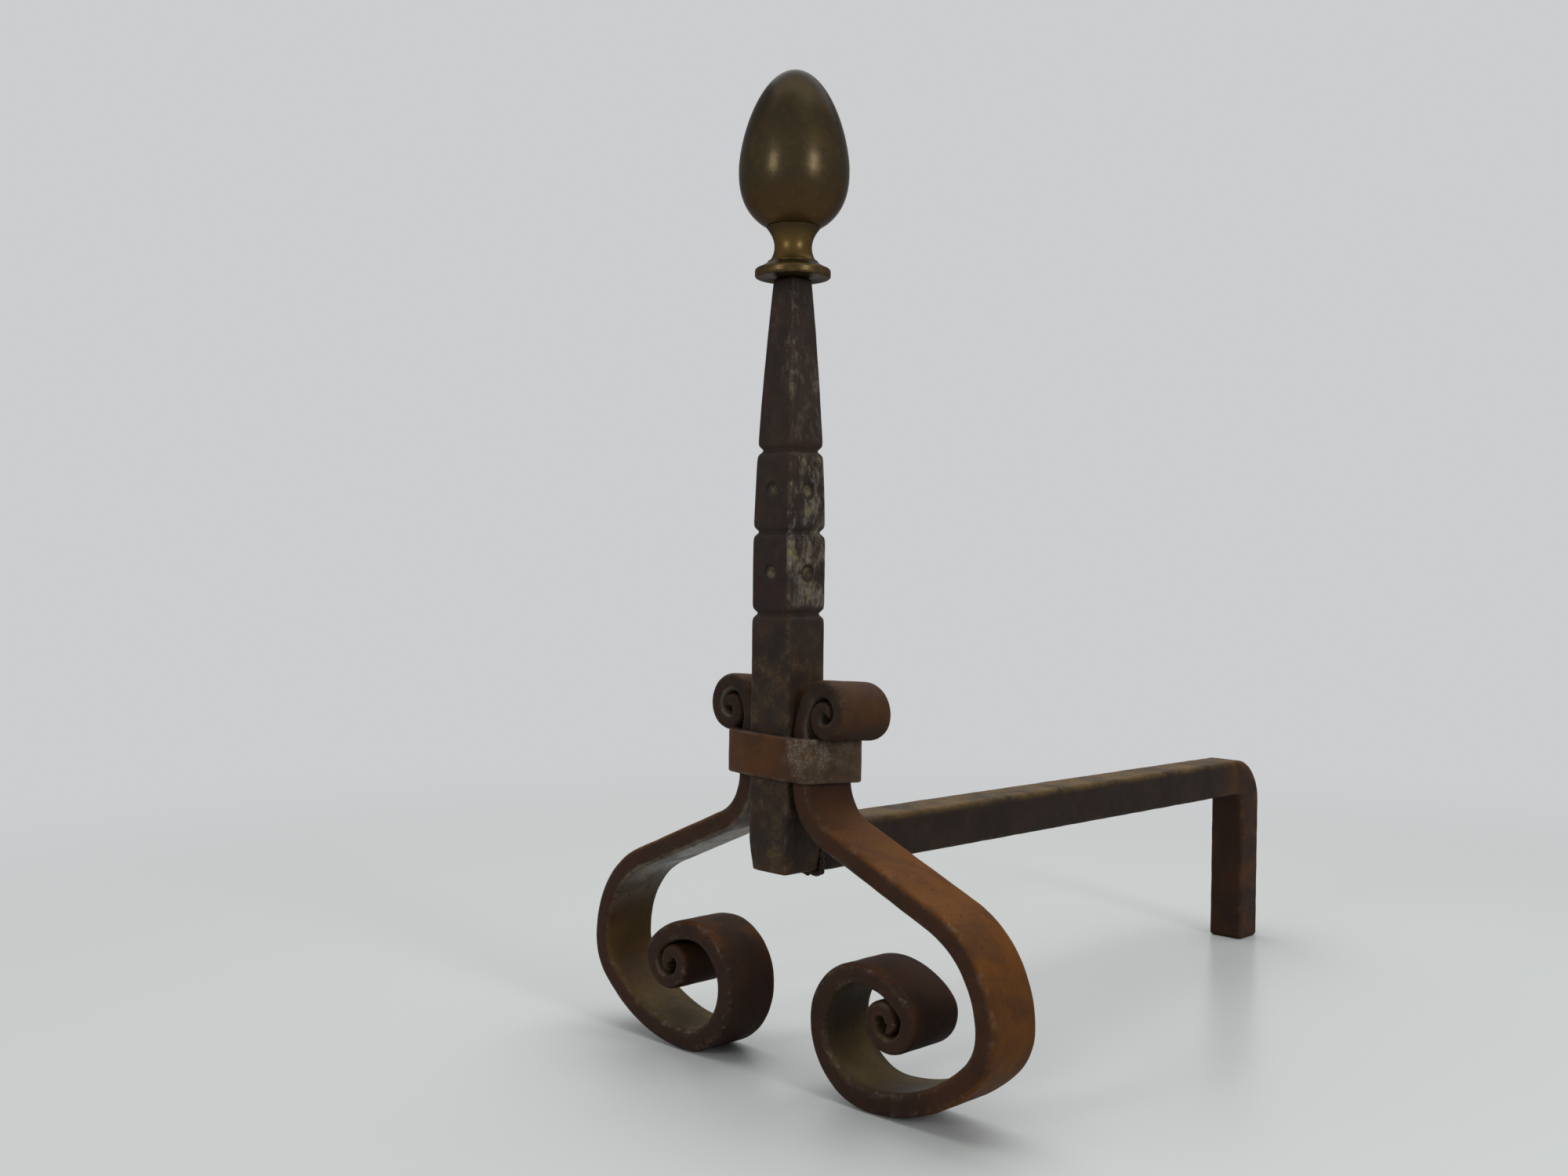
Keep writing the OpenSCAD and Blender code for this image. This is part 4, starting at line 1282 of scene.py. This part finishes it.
class ANDIRON_OT_log_bar(bpy.types.Operator):
    """Forge the log bar with its rear foot, and weld it to the post"""
    bl_idname = "andiron.log_bar"
    bl_label = "Log bar"
    bl_options = {"REGISTER", "UNDO"}

    def execute(self, context):
        forge = context.scene.andiron_forge
        colours = context.scene.andiron_colours
        sizes = {"Thickness": BAR_WIDTH, "Width": BAR_WIDTH, "Arris": forge.bar_arris, "Points round": 96}
        bar = forge_piece("billet_bar", bar_path(forge), forge, sizes, bar_iron(colours))
        place_piece(bar, "log_bar", "frame")
        x = BAR_WIDTH / 2 + 0.2 * MM
        y = BAR_LOW.y + 0.6 * MM
        top = BAR_HIGH.z - 1.3 * MM
        low = BAR_HIGH.z - BAR_WIDTH
        drip = low - 1.6 * MM
        # round the bar's end, with two drips below it: x, z and the size of the puddle there
        run = ((0, top, 0.9), (x, top, 0.75), (x, low, 0.7), (8.5 * MM, low - 0.6 * MM, 0.9),
               (8 * MM, drip, 0.75), (6 * MM, low - 0.4 * MM, 1.0), (3 * MM, low - 0.6 * MM, 1.0),
               (2.6 * MM, drip, 0.8), (0, low - 0.5 * MM, 1.0), (-x, low, 0.7), (-x, top, 0.75),
               (0, top, 0.9))
        points = [(x, y, z) for x, z, _ in run]
        bead = lay_bead("bar_bead", points, [row[2] for row in run], forge.seed, BAR_PUDDLE, colours)
        place_piece(bead, "bar_weld", "frame")
        return {"FINISHED"}


class ANDIRON_OT_finial(bpy.types.Operator):
    """Turn the brass pedestal and egg, and cut the stud"""
    bl_idname = "andiron.finial"
    bl_label = "Finial"
    bl_options = {"REGISTER", "UNDO"}

    def execute(self, context):
        finial = context.scene.andiron_finial
        colours = context.scene.andiron_colours
        egg = turned("brass_egg", egg_outline(finial), finial.segments, False)
        egg.data.materials.append(brass("egg_brass", colours, rough=0.31, metal=0.6))
        place_piece(egg, "finial_knob", "finial")
        base = turned("brass_pedestal", pedestal_outline(finial), finial.segments, True)
        base.data.materials.append(brass("pedestal_brass", colours, rough=0.36, metal=0.7))
        place_piece(base, "finial_base", "finial_foot")
        tree = made_once(bpy.data.node_groups, "Screw thread", thread_tree)
        stud = grow("threaded_stud", edge_chain("stud", [(0, 0, 0)], {}), tree,
                    {"Radius": finial.stud_radius, "Pitch": finial.thread_pitch,
                     "Depth": finial.thread_depth, "Length": STUD_HIGH.z - STUD_LOW.z,
                     "Low end": (0.0, AXIS_Y, STUD_LOW.z), "Steel": thread_steel(colours)})
        place_piece(stud, "finial_stud", "finial")
        return {"FINISHED"}


class ANDIRON_OT_rivet(bpy.types.Operator):
    """Give the hidden rivet its iron"""
    bl_idname = "andiron.rivet"
    bl_label = "Rivet"
    bl_options = {"REGISTER", "UNDO"}

    def execute(self, context):
        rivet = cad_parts["leg_rivet"]
        iron = made_once(bpy.data.materials, "weld_iron", weld_iron, context.scene.andiron_colours)
        if not rivet.material_slots:
            rivet.data.materials.append(iron)
        for slot in rivet.material_slots:
            slot.material = iron
        return {"FINISHED"}


class ANDIRON_OT_stage(bpy.types.Operator):
    """Lay the floor, hang the lights and set the camera"""
    bl_idname = "andiron.stage"
    bl_label = "Stage"
    bl_options = {"REGISTER", "UNDO"}

    def execute(self, context):
        stage = context.scene.andiron_stage
        self.floor(stage)
        self.world(context.scene, stage)
        self.lamps()
        self.camera(context.scene, stage)
        context.scene.view_settings.view_transform = "Standard"
        return {"FINISHED"}

    def floor(self, stage):
        """A glossy floor near the andiron, duller further out, that fades into the backdrop."""
        mesh = bpy.data.meshes.new("floor")
        turns = [math.tau * k / FLOOR_SIDES for k in range(FLOOR_SIDES)]
        rim = [(FLOOR_RADIUS * math.cos(turn), FLOOR_RADIUS * math.sin(turn), 0) for turn in turns]
        mesh.from_pydata(rim, [], [list(range(FLOOR_SIDES))])
        floor = add_object("floor", mesh)
        material, n = shader("pale_floor")
        distance = n.place().reach()
        tone = (*stage.floor_colour, 1)
        near = n.add("ShaderNodeBsdfPrincipled", None,
                     {"Base Color": tone, "Roughness": 0.26 + distance.rise(0.12, 0.5) * 0.6,
                      "Specular IOR Level": 0.4})
        glow = n.add("ShaderNodeEmission", None, {"Color": (*stage.backdrop_colour, 1), "Strength": 1.0})
        plain = n.add("ShaderNodeBsdfDiffuse", None, {"Color": tone})
        distant = n.add("ShaderNodeMixShader", None, {0: n.shows_backdrop(), 1: plain, 2: glow})
        cover = n.add("ShaderNodeMixShader", None, {0: distance.rise(0.3, 1.15), 1: near, 2: distant})
        n.add("ShaderNodeOutputMaterial", None, {"Surface": cover})
        mesh.materials.append(material)
        floor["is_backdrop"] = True

    def world(self, scene, stage):
        """A soft sky on the andiron, and the plain backdrop behind it."""
        scene.world = bpy.data.worlds.new("studio")
        scene.world.use_nodes = True
        scene.world.node_tree.nodes.clear()
        n = Nodes(scene.world.node_tree)
        sky = n.add("ShaderNodeBackground", None, {"Color": (*SKY_COLOUR, 1), "Strength": SKY_STRENGTH})
        seen = n.add("ShaderNodeBackground", None, {"Color": (*stage.backdrop_colour, 1), "Strength": 1.0})
        mixed = n.add("ShaderNodeMixShader", None, {0: n.shows_backdrop(), 1: sky, 2: seen})
        n.add("ShaderNodeOutputWorld", None, {"Surface": mixed})

    def lamps(self):
        """Two windows, at the left and the right of the camera, and a wide soft lamp overhead."""
        aim = Vector((0, AXIS_Y, LAMP_AIM_Z))
        for name, place, size, power in LAMPS:
            light = bpy.data.lights.new(name, "AREA")
            light.shape = "RECTANGLE"
            light.size, light.size_y = size
            light.energy = power
            lamp = add_object(name, light)
            lamp.location = place
            lamp.rotation_euler = (aim - Vector(place)).to_track_quat("-Z", "Y").to_euler()

    def camera(self, scene, stage):
        """The camera at the photograph's viewing angle."""
        lens = bpy.data.cameras.new("photo_camera")
        lens.lens = stage.lens_mm
        lens.sensor_width = 36
        lens.sensor_fit = "HORIZONTAL"
        lens.clip_start = 0.01
        camera = add_object("photo_camera", lens)
        yaw, pitch, roll = stage.camera_yaw, stage.camera_pitch, stage.camera_roll
        ahead = Vector((-math.sin(yaw) * math.cos(pitch), math.cos(yaw) * math.cos(pitch), -math.sin(pitch)))
        level = Vector((math.cos(yaw), math.sin(yaw), 0))
        upright = level.cross(ahead)
        right = math.cos(roll) * level + math.sin(roll) * upright
        up = math.cos(roll) * upright - math.sin(roll) * level
        spot = Vector((stage.camera_x, AXIS_Y - stage.camera_y, stage.camera_z))
        camera.matrix_world = Matrix.Translation(spot) @ Matrix((right, up, -ahead)).transposed().to_4x4()
        scene.camera = camera


OPERATORS = (ANDIRON_OT_stage, ANDIRON_OT_legs, ANDIRON_OT_post, ANDIRON_OT_collar, ANDIRON_OT_log_bar,
             ANDIRON_OT_finial, ANDIRON_OT_rivet)
SETTINGS = {"andiron_forge": AndironForgeSettings, "andiron_finial": AndironFinialSettings,
            "andiron_colours": AndironColourSettings, "andiron_stage": AndironStageSettings}


class ANDIRON_PT_panel(bpy.types.Panel):
    """Lists the andiron's operators and settings"""
    bl_idname = "ANDIRON_PT_panel"
    bl_label = "Andiron"
    bl_space_type = "VIEW_3D"
    bl_region_type = "UI"
    bl_category = "Andiron"

    def draw(self, context):
        for operator in OPERATORS:
            self.layout.operator(operator.bl_idname)
        for group in SETTINGS:
            settings = getattr(context.scene, group)
            box = self.layout.box()
            for key in settings.__annotations__:
                box.prop(settings, key)


def register():
    for thing in (*SETTINGS.values(), *OPERATORS, ANDIRON_PT_panel):
        bpy.utils.register_class(thing)
    for key, group in SETTINGS.items():
        setattr(bpy.types.Scene, key, PointerProperty(type=group))


def unregister():
    for key in SETTINGS:
        delattr(bpy.types.Scene, key)
    for thing in (ANDIRON_PT_panel, *reversed(OPERATORS), *reversed(SETTINGS.values())):
        bpy.utils.unregister_class(thing)


def main():
    register()
    bpy.ops.andiron.stage()
    bpy.ops.andiron.legs()
    bpy.ops.andiron.post()
    bpy.ops.andiron.collar()
    bpy.ops.andiron.log_bar()
    bpy.ops.andiron.finial()
    bpy.ops.andiron.rivet()
    plain = [[list(map(float, corner)) for corner in box] for box in (CAD_BOX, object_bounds())]


if __name__ == "__main__":
    main()
